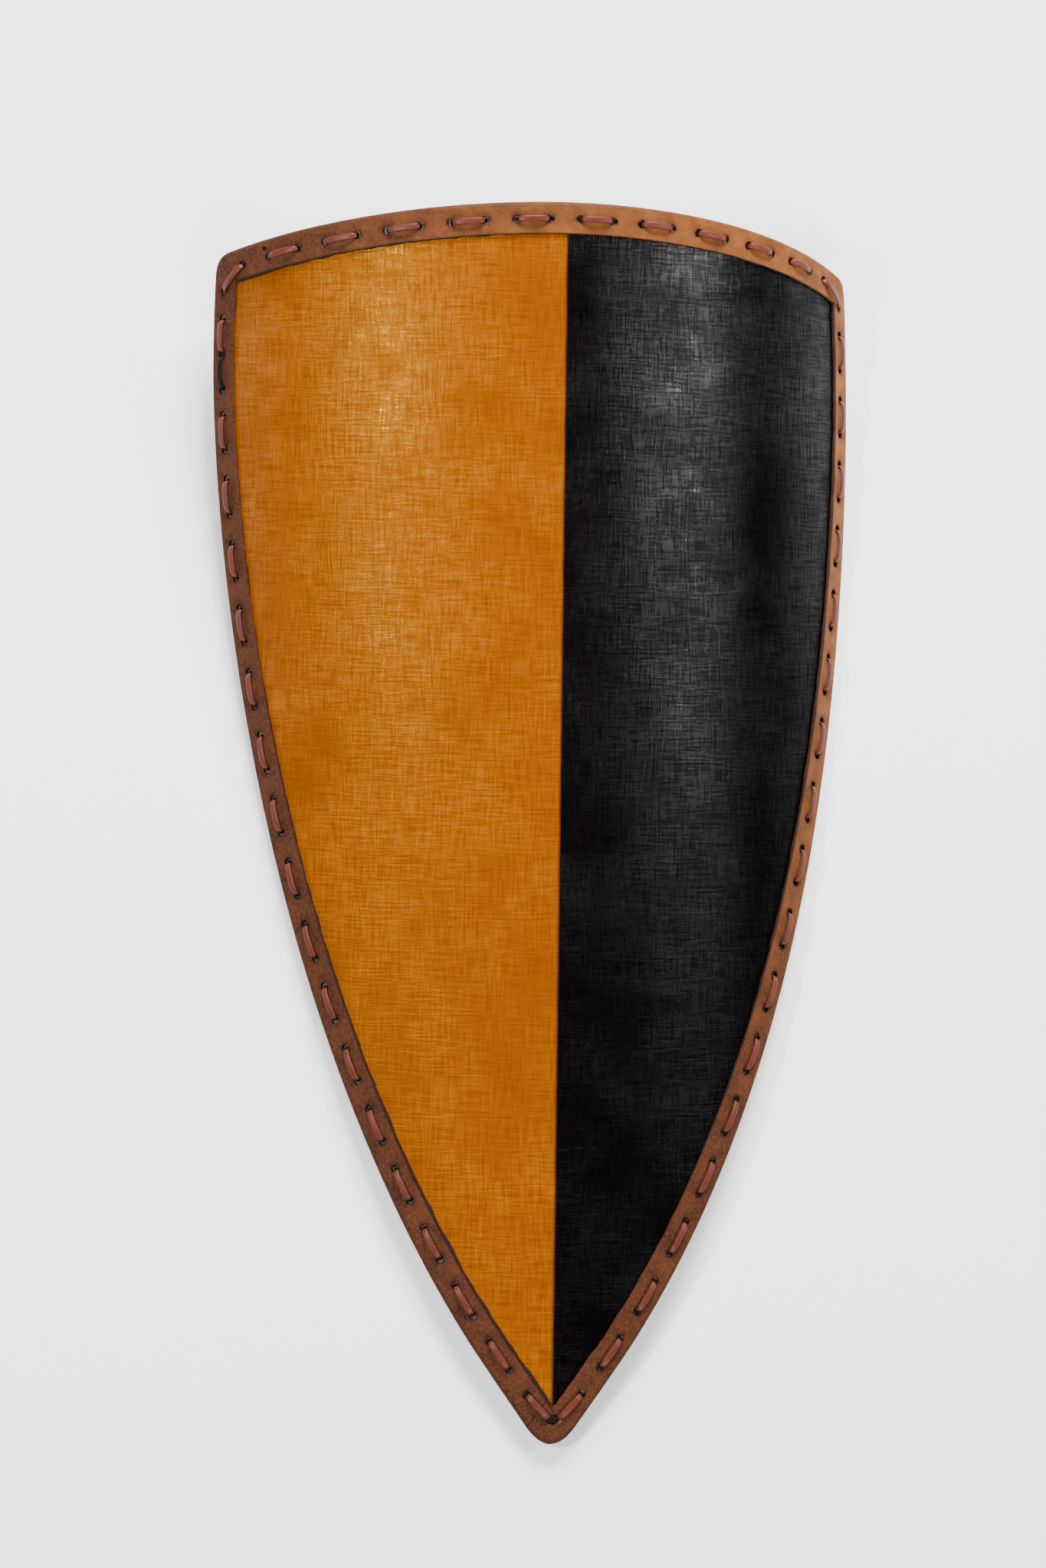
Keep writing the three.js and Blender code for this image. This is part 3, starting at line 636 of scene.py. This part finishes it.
def leather_look():
    look = Shader("edging_leather")
    layout = look.attribute("layout")
    edge = look.attribute("edge", "Fac")
    pucker = look.attribute("pucker", "Fac")
    mottle = look.noise(layout, 55.0, detail=5.0, roughness=0.65)
    fine = look.noise(layout, 420.0, detail=4.0, roughness=0.6)
    u, v = look.parts(layout)[0], look.parts(layout)[1]
    # painted light: the leather turns from brown to a lit tan toward the upper right, where the light
    # falls
    painted_light = look.between(look.math("MULTIPLY_ADD", v, PAINTED_LIGHT_SLANT, u), *PAINTED_LIGHT_RANGE, smooth=True)
    brown = look.mix(look.between(mottle, 0.32, 0.68), *BROWN_LEATHER)
    painted_lit_leather = look.mix(look.between(mottle, 0.32, 0.68), *LEATHER_PAINTED_LIGHT)
    brown = look.mix(painted_light, brown, painted_lit_leather)
    brown = look.mix(look.between(fine, 0.35, 0.7, 0.0, 0.3), brown, LEATHER_GRAIN)
    turn = look.between(edge, 0.0005, 0.005, 0.45, 0.0, smooth=True)
    brown = look.mix(turn, brown, LEATHER_TURN)
    # painted shadow along the window's cut edge, where the leather stands over the canvas
    cut = look.between(edge, EDGING_WIDTH - 0.0018, EDGING_WIDTH - 0.0002, 0.0, 0.9, smooth=True)
    brown = look.mix(cut, brown, LEATHER_CUT_SHADOW)
    # painted shade in the dimples round the lace holes
    brown = look.mix(look.math("MULTIPLY", pucker, 0.5), brown, LEATHER_PAINTED_SHADE)
    # painted shade on the holes' walls
    brown = look.mix(look.math("MULTIPLY", look.attribute("wall", "Fac"), 0.92), brown, LEATHER_HOLE_SHADE)
    creases = [look.stroke(layout, *crease) for crease in CREASES]
    crease = creases[0]
    for other in creases[1:]:
        crease = look.math("MAXIMUM", crease, other)
    # painted shade along the lap, the creases and the nick
    brown = look.mix(look.math("MULTIPLY", crease, 0.75), brown, LEATHER_PAINTED_SHADE)
    look.finish("Base Color", brown)
    look.finish("Roughness", look.between(fine, 0.3, 0.7, 0.75, 0.58))
    look.finish("Specular IOR Level", 0.12)
    grain = look.node("TexVoronoi", {"Vector": layout, "Scale": 900.0}).outputs["Distance"]
    height = look.math("ADD", look.math("MULTIPLY", grain, 0.35), fine)
    height = look.math("MULTIPLY_ADD", crease, -3.0, height)
    look.bump(height, 0.0003, 0.6)
    return look.material


def lace_look():
    look = Shader("lace_leather")
    thong = look.attribute("thong")
    dark = look.parts(thong)[2]
    fibres = look.noise(look.scaled(thong, (1500.0, 160.0, 0.0)), 1.0, detail=3.0)
    tone = look.noise(look.scaled(thong, (0.0, 90.0, 0.0)), 1.0, detail=2.0)
    red = look.mix(look.between(fibres, 0.3, 0.7), *RED_THONG)
    red = look.mix(look.between(tone, 0.3, 0.7, 0.0, 0.4), red, THONG_SHADE)
    red = look.mix(dark, red, DARK_THONG)
    look.finish("Base Color", red)
    look.finish("Roughness", look.between(fibres, 0.3, 0.7, 0.55, 0.42))
    look.finish("Specular IOR Level", look.between(dark, 0.0, 1.0, 0.26, 0.08))
    look.bump(fibres, 0.00015, 0.6)
    return look.material


def strap_look():
    look = Shader("strap_leather")
    layout = look.attribute("layout")
    mottle = look.noise(layout, 40.0, detail=5.0, roughness=0.6)
    fine = look.noise(layout, 500.0, detail=4.0)
    brown = look.mix(look.between(mottle, 0.3, 0.7), *STRAP_LEATHER)
    look.finish("Base Color", look.mix(look.between(fine, 0.35, 0.7, 0.0, 0.4), brown, STRAP_GRAIN))
    look.finish("Roughness", look.between(fine, 0.3, 0.7, 0.7, 0.5))
    grain = look.node("TexVoronoi", {"Vector": layout, "Scale": 800.0}).outputs["Distance"]
    look.bump(look.math("ADD", look.math("MULTIPLY", grain, 0.4), fine), 0.0003, 0.6)
    return look.material


def board_look():
    look = Shader("board_wood")
    layout = look.attribute("layout")
    bend_in_grain = look.noise(look.scaled(layout, (6.0, 1.2, 1.0)), 1.0, detail=2.0)
    rings = look.math("MULTIPLY", look.parts(layout)[0], 40.0)
    rings = look.math("FRACT", look.math("ADD", rings, look.math("MULTIPLY", bend_in_grain, 5.0)))
    pores = look.noise(look.scaled(layout, (1500.0, 60.0, 1.0)), 1.0, detail=4.0, roughness=0.6)
    wood = look.mix(look.between(rings, 0.0, 1.0, 0.1, 0.8), *WOOD_RINGS)
    wood = look.mix(look.between(pores, 0.4, 0.65, 0.0, 0.5), wood, WOOD_PORES)
    # painted shadow on the board round its holes, where it shows through the leather's holes
    wood = look.mix(look.attribute("hole", "Fac"), wood, WOOD_HOLE_SHADE)
    look.finish("Base Color", wood)
    look.finish("Roughness", look.between(pores, 0.3, 0.7, 0.55, 0.7))
    look.bump(pores, 0.0002, 0.5)
    return look.material


def steel_look():
    look = Shader("screw_steel")
    layout = look.attribute("layout")
    scuffs = look.noise(layout, 900.0, detail=4.0)
    look.finish("Base Color", look.mix(look.between(scuffs, 0.3, 0.7), *STEEL))
    look.finish("Metallic", 1.0)
    look.finish("Roughness", look.between(scuffs, 0.3, 0.7, 0.28, 0.45))
    return look.material


# The board and the canvas, each one bent sheet

TIP_GAP = 2  # points of the tip's curve, from its middle to each end of the bottom row
SCREW_BORE = SCREW_SHANK_RADIUS + CLEARANCE
HOLE_SHADOW = {"from": 0.004, "to": 0.006}  # where the dark round a hole's middle fades out


def resampled(line, count):
    lengths = lengths_along(line)
    return point_at(line, lengths, np.linspace(0, lengths[-1], count))


def sheet_surface(inset):
    """A grid of points that fills the rim moved inward, from the tip's row up to the top's."""
    top, right_corner, right, tip, left, left_corner = rim_stretches(inset)
    half_corner = CORNER_COUNT // 2
    half_tip = TIP_COUNT // 2
    right_edge = np.concatenate([right_corner[half_corner:], right, tip[:half_tip - TIP_GAP]])[::-1]
    left_edge = np.concatenate([tip[half_tip + TIP_GAP:], left, left_corner[:half_corner]])
    top_edge = np.concatenate([left_corner[half_corner - 1:], top, right_corner[:half_corner + 1]])
    bottom_edge = tip[half_tip - TIP_GAP - 1:half_tip + TIP_GAP + 1][::-1]
    top_edge = resampled(top_edge, SHEET_COLUMNS)[None]
    bottom_edge = resampled(bottom_edge, SHEET_COLUMNS)[None]
    left_edge = resampled(left_edge, SHEET_ROWS)[:, None]
    right_edge = resampled(right_edge, SHEET_ROWS)[:, None]
    a = np.linspace(0, 1, SHEET_COLUMNS)[None, :, None]
    b = np.linspace(0, 1, SHEET_ROWS)[:, None, None]
    ruled = (1 - b) * bottom_edge + b * top_edge + (1 - a) * left_edge + a * right_edge
    low = (1 - a) * bottom_edge[:, :1] + a * bottom_edge[:, -1:]
    high = (1 - a) * top_edge[:, :1] + a * top_edge[:, -1:]
    return ruled - (1 - b) * low - b * high


def sheet_object(name, inset, back, front):
    """A sheet of one thickness with straight walls."""
    surface = sheet_surface(inset)
    rows, columns = surface.shape[:2]
    count = rows * columns
    layout = [np.dstack([surface, np.full((rows, columns), n)]).reshape(-1, 3) for n in (front, back)]
    faces = grid_faces(rows, columns)
    faces += [[count + corner for corner in face[::-1]] for face in faces]
    border = [(0, c) for c in range(columns - 1)] + [(r, columns - 1) for r in range(rows - 1)]
    border += [(rows - 1, c) for c in range(columns - 1, 0, -1)] + [(r, 0) for r in range(rows - 1, 0, -1)]
    ring = [r * columns + c for r, c in border]
    for one, other in zip(ring, ring[1:] + ring[:1]):
        faces.append([other, one, count + one, count + other])
    return plain_object(name, np.concatenate(layout), faces)


def round_bars(name, places, halves, back, front, turns=None):
    """Upright bars through the layout, for cutting holes, each oval by its half width and height."""
    sides = BAR_SIDES
    turns = np.zeros(len(places)) if turns is None else turns
    angle = np.linspace(0, 2 * np.pi, sides, endpoint=False)
    layout = []
    faces = []
    for place, half, turn in zip(places, halves, turns):
        start = 2 * sides * (len(layout) // 2)
        ring = place + turned(np.stack([half[0] * np.cos(angle), half[1] * np.sin(angle)], -1), turn)
        layout += [np.column_stack([ring, np.full(sides, n)]) for n in (back, front)]
        faces += [[start + corner for corner in face] for face in grid_faces(2, sides, columns_close=True)]
        faces.append([start + i for i in range(sides)])
        faces.append([start + sides + i for i in range(sides)][::-1])
    return plain_object(name, np.concatenate(layout), faces)


def screw_places(strap):
    reach = strap["span"] / 2 - SCREW_FROM_STRAP_END
    return [np.array([strap["across"], STRAP_LEVEL + way * reach]) for way in (1, -1)]


def make_board(material):
    board = sheet_object("plywood_board", BOARD_INSET, BOARD_BACK, BOARD_FRONT)
    slots = round_bars("board_lace_bars", board_slots, board_halves, 2 * LEATHER_BACK, 0.001, hole_turns)
    cut_holes(board, slots)
    screws = screw_places(FOREARM_STRAP) + screw_places(HAND_STRAP)
    depth = BOARD_BACK + SCREW_DEPTH + CLEARANCE
    bores = round_bars("board_screw_bars", screws, [(SCREW_BORE,) * 2] * 4, 2 * STRAP_BACK, depth)
    cut_holes(board, bores)
    # how near each point is to a hole, for the painted shadow round it
    reach = nearest(layout_of(board), np.concatenate([all_holes, [stray_hole]]))
    dress(board, "shield_board", material)
    near = (HOLE_SHADOW["to"] - reach) / (HOLE_SHADOW["to"] - HOLE_SHADOW["from"])
    add_points_attribute(board, "hole", "FLOAT", np.clip(near, 0, 1))


def make_canvas(material):
    canvas = sheet_object("canvas_cover", CANVAS_INSET, CANVAS_BACK, CANVAS_FRONT)
    dress(canvas, "canvas_facing", material)


# The leather edging, folded round the rim

CUT_EDGE_WANDER = 0.0008
PUCKER_DEPTH = 0.0010
PUCKER_REACH = 0.0042
SURFACE_WAVE = 0.00035
SURFACE_SINK = 0.0002  # by which the waves lie below the flat surface
CUT_REACH = 0.004  # from the cut edge to where its wander ends
FOLD_REACH = 0.004  # from the rim to where the waves and puckers are at full depth
FOLD_SHARE = 0.2  # of their depth right at the rim
FRONT_DEPTH = 0.0017  # of the front's points, down to which they count as its surface
BACK_MARGIN = 0.0001  # behind the lining, from which points count as the back's surface
CUT_BEVEL = 0.0005  # depth of the slope at a cut edge
CUT_BEVEL_WIDTH = 0.0004
LINING_INSET = 0.014
BAR_TOP = 0.004
WALL_SHARE = 1.04  # of a hole's radius, within which a point is on its wall
PUCKER_SHADE_REACH = 0.0045
OUTLINE_POINTS = 900


def edging_profile():
    """The closed section of the folded leather as (inset, n) points, from its front cut edge round."""
    front_insets = np.linspace(EDGING_WIDTH - CUT_BEVEL_WIDTH, EDGE_ROUNDING, 18)
    turn = np.linspace(0, np.pi / 2, 7)[1:]
    front = [(EDGING_WIDTH, -CUT_BEVEL)] + [(inset, 0.0) for inset in front_insets]
    front_turn = [(EDGE_ROUNDING * (1 - math.sin(t)), EDGE_ROUNDING * (math.cos(t) - 1)) for t in turn]
    back_turn = [(inset, LEATHER_BACK - n) for inset, n in front_turn[::-1]]
    back = [(inset, LEATHER_BACK) for inset in front_insets[::-1]]
    back.append((EDGING_WIDTH, LEATHER_BACK + CUT_BEVEL))
    lining_insets = (EDGING_WIDTH, LINING_INSET, LEATHER_THICKNESS)
    lining_back = [(inset, BOARD_BACK - CLEARANCE) for inset in lining_insets]
    lining_front = [(inset, LEATHER_INSIDE) for inset in lining_insets[::-1]]
    return front + front_turn + back_turn + back + lining_back + lining_front


def make_edging(material):
    profile = edging_profile()
    outer = rim_loop(0)
    layout = np.array([np.column_stack([rim_loop(inset), np.full(len(outer), n)]) for inset, n in profile])
    insets = np.array([inset for inset, n in profile])
    levels = np.array([n for inset, n in profile])
    window = rim_loop(EDGING_WIDTH)
    wander = noise_over(window, 90.0, 3.5) + 0.5 * noise_over(window, 320.0, 7.5)
    inward = (window - outer) / np.linalg.norm(window - outer, axis=1, keepdims=True)
    near_cut = np.clip((insets - EDGING_WIDTH + CUT_REACH) / CUT_REACH, 0, 1)
    layout[..., :2] += near_cut[:, None, None] * (wander * CUT_EDGE_WANDER)[None, :, None] * inward[None]
    for column, (inset, level) in enumerate(zip(insets, levels)):
        on_front = level > -FRONT_DEPTH
        on_back = level < BOARD_BACK - CLEARANCE - BACK_MARGIN
        if not (on_front or on_back):
            continue
        spots = layout[column, :, :2]
        reach = nearest(spots, all_holes)
        pucker = PUCKER_DEPTH * np.exp(-(reach / PUCKER_REACH) ** 2)
        wave = SURFACE_WAVE * noise_over(spots, 45.0, 1.5 if on_front else 4.5) - SURFACE_SINK
        change = (wave - pucker) * np.clip(inset / FOLD_REACH, FOLD_SHARE, 1)
        layout[column, :, 2] += change if on_front else -change
    faces = grid_faces(*layout.shape[:2], True, True)
    edging = plain_object("folded_edging", layout.reshape(-1, 3), faces)
    cut_holes(edging, round_bars("edging_bars", all_holes, hole_halves, 2 * LEATHER_BACK, BAR_TOP))
    stray_radius = STRAY_HOLE["radius"]
    cut_holes(edging, round_bars("stray_bar", [stray_hole], [(stray_radius,) * 2], BOARD_FRONT, BAR_TOP))
    spots = layout_of(edging)
    dress(edging, "leather_edging", material, math.radians(50))
    add_points_attribute(edging, "edge", "FLOAT", nearest(spots, resampled(outer, OUTLINE_POINTS)))
    reach = nearest(spots, all_holes)
    stray_reach = nearest(spots, [stray_hole])
    # the holes' walls, for the painted shade on them
    wall = (reach < WALL_SHARE * HOLE_RADIUS) | (stray_reach < WALL_SHARE * stray_radius)
    # how near each point is to a hole, for the painted shade round it
    add_points_attribute(edging, "pucker", "FLOAT", np.exp(-(reach / PUCKER_SHADE_REACH) ** 2))
    add_points_attribute(edging, "wall", "FLOAT", wall)


# The two laces

SECTION_POINTS = 14
STITCH_RINGS = 18
BACK_RINGS = 10
DARK_STITCHES = {"left_thong": 1}  # how many stitches from its start are dark
BACK_RISE_SHARE = 0.6  # of a stitch's rise, for the runs behind
LACE_NARROWEST = 0.80  # share of the lace's width, down in its holes
SECTION_POWERS = (0.55, 0.8)  # the lower, the squarer, across the lace and through it
STITCH_POWERS = (0.75, 0.62)  # the lower, the squarer, along a stitch and over it


def squared(wave, power):
    """A sine or cosine raised to a power with its sign kept."""
    return np.sign(wave) * np.abs(wave) ** power


def stitch_arch(count, rise, dip):
    """Shares along a stitch and heights over its surface, as half an upright superellipse."""
    angle = np.linspace(0, np.pi, count)
    along = 0.5 - 0.5 * squared(np.cos(angle), STITCH_POWERS[0])
    return along, -dip + (rise + dip) * np.sin(angle) ** STITCH_POWERS[1]


def lace_line(holes):
    """The middle line of a lace in the layout, its flat headings, and the stitch each point is on."""
    route = [np.asarray(hole, float) for hole in holes]
    first = (route[1] - route[0]) / np.linalg.norm(route[1] - route[0])
    last = (route[-2] - route[-1]) / np.linalg.norm(route[-2] - route[-1])
    route[0] = route[0] + first * START_STANDOFF
    route[-1] = route[-1] + last * TIP_STANDOFF
    points = [[*route[0], BOARD_BACK]]
    headings = [first]
    stitch = [0]
    for i in range(len(route) - 1):
        on_front = i % 2 == 0
        heading = (route[i + 1] - route[i]) / np.linalg.norm(route[i + 1] - route[i])
        rise = LACE_RISE if on_front else LACE_RISE * BACK_RISE_SHARE
        along, height = stitch_arch(STITCH_RINGS if on_front else BACK_RINGS, rise, LACE_DIP)
        lead = heading * (STITCH_LEAD if on_front else 0)
        start, end = route[i] + lead, route[i + 1] - lead
        for share, over in zip(along, height):
            spot = start + (end - start) * share
            points.append([*spot, over if on_front else LEATHER_BACK - over])
            headings.append(heading)
            stitch.append(i)
    points.append([*route[-1], BOARD_BACK])
    headings.append(headings[-1])
    stitch.append(len(route) - 2)
    return np.array(points), np.array(headings), np.array(stitch)


def make_lace(name, holes, replaced, material):
    points, headings, stitch = lace_line(holes)
    smooth = headings.copy()
    for _ in range(2):
        smooth[1:-1] = (smooth[:-2] + 2 * smooth[1:-1] + smooth[2:]) / 4
    across = np.column_stack([-smooth[:, 1], smooth[:, 0], np.zeros(len(smooth))])
    across /= np.linalg.norm(across, axis=1, keepdims=True)
    tangent = np.gradient(points, axis=0)
    tangent -= across * np.sum(tangent * across, axis=1, keepdims=True)
    tangent /= np.linalg.norm(tangent, axis=1, keepdims=True)
    normal = np.cross(tangent, across)
    above = np.clip(points[:, 2] / LACE_RISE, 0, 1)
    width = LACE_NARROWEST + (1 - LACE_NARROWEST) * above + 0.05 * noise_over(points[:, :2], 60.0, 9.5)
    width *= LACE_WIDTH
    thickness = LACE_THICKNESS * (1 + 0.12 * noise_over(points[:, :2], 110.0, 2.5))
    angle = np.linspace(0, 2 * np.pi, SECTION_POINTS, endpoint=False)
    x = 0.5 * squared(np.cos(angle), SECTION_POWERS[0])
    y = 0.5 * squared(np.sin(angle), SECTION_POWERS[1])
    rings = points[:, None] + across[:, None] * (width[:, None] * x)[..., None]
    rings = rings + normal[:, None] * (thickness[:, None] * y)[..., None]
    count = len(points)
    faces = grid_faces(count, SECTION_POINTS, columns_close=True)
    faces.append(list(range(SECTION_POINTS)))
    faces.append([(count - 1) * SECTION_POINTS + i for i in range(SECTION_POINTS)][::-1])
    lace = plain_object(name, rings.reshape(-1, 3), faces)
    run = lengths_along(points)
    dark = (stitch < DARK_STITCHES.get(name, 0)).astype(float)
    thong = np.stack([
        np.broadcast_to((LACE_WIDTH * x)[None], rings.shape[:2]),
        np.broadcast_to(run[:, None], rings.shape[:2]),
        np.broadcast_to(dark[:, None], rings.shape[:2]),
    ], -1)
    dress(lace, replaced, material, math.radians(70))
    add_points_attribute(lace, "thong", "FLOAT_VECTOR", thong)


# The straps and their screws, behind the board

LOOP_POINTS = 40
FOOT_POINTS = 10
STRAP_ROUNDING = 0.0012
STRAP_COLUMNS = 12


def strap_line(strap):
    """The middle line of a strap along v and n: a foot, a loop and a foot."""
    level = STRAP_FRONT - STRAP_THICKNESS / 2
    top = level - strap["stand_off"]
    end = strap["span"] / 2
    knee = end - STRAP_FOOT
    t = np.linspace(0, 1, LOOP_POINTS)[:, None]
    hands = [(knee, level), (knee * (1 - LOOP_LEAN), level), (knee * LOOP_FULLNESS, top), (0, top)]
    a, b, c, d = (np.array(hand) for hand in hands)
    loop = (1 - t) ** 3 * a + 3 * t * (1 - t) ** 2 * b + 3 * t ** 2 * (1 - t) * c + t ** 3 * d
    foot = np.column_stack([np.linspace(end, knee, FOOT_POINTS)[:-1], np.full(FOOT_POINTS - 1, level)])
    half = np.concatenate([foot, loop])
    return np.concatenate([half, half[-2::-1] * [-1, 1]])


def make_strap(name, strap, replaced, material):
    line = strap_line(strap)
    along = np.gradient(line, axis=0)
    along /= np.linalg.norm(along, axis=1, keepdims=True)
    out = np.stack([-along[:, 1], along[:, 0]], -1)
    half = strap["width"] / 2
    lift = STRAP_THICKNESS / 2
    wall = lift - STRAP_ROUNDING
    flat = np.linspace(-half + STRAP_ROUNDING, half - STRAP_ROUNDING, STRAP_COLUMNS)
    section = [(-half, -wall), (-half, wall)] + [(x, lift) for x in flat]
    section += [(half, wall), (half, -wall)] + [(x, -lift) for x in flat[::-1]]
    rings = []
    for point, side in zip(line, out):
        rings.append([[strap["across"] + x, STRAP_LEVEL + point[0] + side[0] * y, point[1] + side[1] * y]
                      for x, y in section])
    layout = np.array(rings)
    count, around = layout.shape[:2]
    faces = grid_faces(count, around, columns_close=True)
    faces += [list(range(around)), [(count - 1) * around + i for i in range(around)][::-1]]
    band = plain_object(name, layout.reshape(-1, 3), faces)
    bores = round_bars(name + "_bars", screw_places(strap), [(SCREW_BORE,) * 2] * 2, 2 * STRAP_BACK, 0.0)
    cut_holes(band, bores)
    dress(band, replaced, material, math.radians(60))


SCREW_SIDES = 36
DOME_RINGS = 9
DOME_START = 0.42  # share of the head's radius at which the dome begins, beside the socket
SOCKET_RIM = 0.0002  # depth of the socket's mouth in the dome
MIDDLE_RADIUS = 0.0001  # of the smallest ring, round the middle of a flat


def make_screw(name, place, replaced, material):
    """A flanged dome head with a six-sided socket, and its shank."""
    under = STRAP_BACK - CLEARANCE
    top = under - SCREW_FLANGE - SCREW_DOME
    sides = SCREW_SIDES
    angle = np.linspace(0, 2 * np.pi, sides, endpoint=False)
    hexagon = SCREW_SOCKET_RADIUS * np.cos(np.pi / 6) / np.cos((angle % (np.pi / 3)) - np.pi / 6)
    floor_of_socket = top + SCREW_SOCKET_DEPTH
    tail = BOARD_BACK + SCREW_DEPTH
    rings = [(MIDDLE_RADIUS, floor_of_socket), (hexagon, floor_of_socket), (hexagon, top + SOCKET_RIM)]
    for share in np.linspace(DOME_START, 1.0, DOME_RINGS):
        lean = math.asin(min(1.0, share))
        rings.append((SCREW_HEAD_RADIUS * share, top + SCREW_DOME * (1 - math.cos(lean))))
    rings += [(SCREW_HEAD_RADIUS, under), (SCREW_SHANK_RADIUS, under)]
    rings += [(SCREW_SHANK_RADIUS, tail), (MIDDLE_RADIUS, tail)]
    layout = np.array([
        np.column_stack([place[0] + radius * np.cos(angle), place[1] + radius * np.sin(angle),
                         np.full(sides, level)])
        for radius, level in rings
    ])
    faces = grid_faces(len(rings), sides, columns_close=True)
    faces += [list(range(sides)), [(len(rings) - 1) * sides + i for i in range(sides)][::-1]]
    screw = plain_object(name, layout.reshape(-1, 3), faces)
    dress(screw, replaced, material, math.radians(35))


# Camera, light and floor

CAMERA_DISTANCE = 3.78
CAMERA_YAW = 0.157539
CAMERA_PITCH = 0.038189
CAMERA_ROLL = 0.024364
CAMERA_SHIFT = (0.027873, -0.050919)
CAMERA_ZOOM = 1799.577  # pixels to a metre at the camera's distance
IMAGE_HEIGHT = 2047
SENSOR = 36.0
CAMERA_REACH = 50.0

BAND_LEVEL = 0.36  # the height on the face at which a band of light is brightest
BAND_LIGHT_DISTANCE = 2.4
BAND_LIGHTS = {
    "left_softbox": {"u": -0.119, "size": (0.22, 0.4), "power": 68.0},
    "right_softbox": {"u": 0.1085, "size": (0.24, 0.5), "power": 40.0},
}
ROOM_LIGHT_SIZE = (1.4, 1.4)
ROOM_LIGHT_TARGET = (0.0, 0.0, 0.1)
ROOM_LIGHTS = {
    "high_softbox": {"place": (0.5, 3.2, 2.2), "power": 540.0},
    "far_softbox": {"place": (0.3, -3.2, 2.2), "power": 155.0},
}
WORLD_STRENGTH = 0.05
FLOOR_REACH = 6.0
FLOOR_SHADE = 0.93
FLOOR_ROUGHNESS = 0.95


def shield_matrix():
    """The shield's own axes and place as one matrix."""
    matrix = Matrix(AXES.T.tolist()).to_4x4()
    matrix.translation = Vector(PLACE)
    return matrix


def make_camera():
    data = bpy.data.cameras.new("camera")
    data.sensor_width = SENSOR
    data.lens = SENSOR * CAMERA_ZOOM * CAMERA_DISTANCE / IMAGE_HEIGHT
    data.clip_end = CAMERA_REACH
    camera = bpy.data.objects.new("camera", data)
    bpy.context.scene.collection.objects.link(camera)
    turn = Matrix.Rotation(CAMERA_ROLL, 4, "Z") @ Matrix.Rotation(CAMERA_PITCH, 4, "X")
    turn = turn @ Matrix.Rotation(CAMERA_YAW, 4, "Y")
    seen = Matrix.Translation((*CAMERA_SHIFT, -CAMERA_DISTANCE)) @ turn
    camera.matrix_world = shield_matrix() @ seen.inverted()
    bpy.context.scene.camera = camera
    return camera


def make_light(name, place, target, size, power):
    """A softbox that faces its target, with its height along the shield."""
    data = bpy.data.lights.new(name, "AREA")
    data.shape = "RECTANGLE"
    data.size, data.size_y = size
    data.energy = power
    light = bpy.data.objects.new(name, data)
    bpy.context.scene.collection.objects.link(light)
    back = (Vector(place) - Vector(target)).normalized()
    side = Vector(AXES[1]).cross(back).normalized()
    facing = Matrix((side, back.cross(side), back)).transposed().to_4x4()
    light.matrix_world = Matrix.Translation(place) @ facing


def light_for_band(name, camera, u, size, power):
    """A softbox whose reflection the camera sees at one spot of the face."""
    step = 0.001
    spot = Vector(bent([u, BAND_LEVEL, CANVAS_FRONT]))
    normal = (Vector(bent([u, BAND_LEVEL, CANVAS_FRONT + step])) - spot).normalized()
    seen = (spot - camera.matrix_world.translation).normalized()
    away = seen.reflect(normal)
    make_light(name, spot + BAND_LIGHT_DISTANCE * away, spot, size, power)


def make_floor():
    reach = FLOOR_REACH
    mesh = bpy.data.meshes.new("floor")
    corners = [(-reach, -reach, 0), (reach, -reach, 0), (reach, reach, 0), (-reach, reach, 0)]
    mesh.from_pydata(corners, [], [(0, 1, 2, 3)])
    floor = bpy.data.objects.new("floor", mesh)
    bpy.context.scene.collection.objects.link(floor)
    look = Shader("floor")
    look.finish("Base Color", (FLOOR_SHADE, FLOOR_SHADE, FLOOR_SHADE, 1.0))
    look.finish("Roughness", FLOOR_ROUGHNESS)
    mesh.materials.append(look.material)


def make_world():
    world = bpy.data.worlds.new("studio")
    world.use_nodes = True
    background = world.node_tree.nodes["Background"]
    background.inputs["Color"].default_value = (1.0, 1.0, 1.0, 1.0)
    background.inputs["Strength"].default_value = WORLD_STRENGTH
    bpy.context.scene.world = world


make_floor()
make_world()
camera = make_camera()
for name, light in BAND_LIGHTS.items():
    light_for_band(name, camera, light["u"], light["size"], light["power"])
for name, light in ROOM_LIGHTS.items():
    make_light(name, light["place"], ROOM_LIGHT_TARGET, ROOM_LIGHT_SIZE, light["power"])

make_board(board_look())
make_canvas(painted_canvas_look())
make_edging(leather_look())
lace_material = lace_look()
make_lace("main_thong", main_lace_holes, "main_lace", lace_material)
make_lace("left_thong", left_lace_holes, "left_lace", lace_material)
strap_material = strap_look()
make_strap("forearm_band", FOREARM_STRAP, "forearm_strap", strap_material)
make_strap("hand_band", HAND_STRAP, "hand_strap", strap_material)
steel = steel_look()
for strap, owner in ((FOREARM_STRAP, "forearm"), (HAND_STRAP, "hand")):
    for place, end in zip(screw_places(strap), ("upper", "lower")):
        make_screw(f"{owner}_bolt_{end}", place, f"{owner}_screw_{end}", steel)
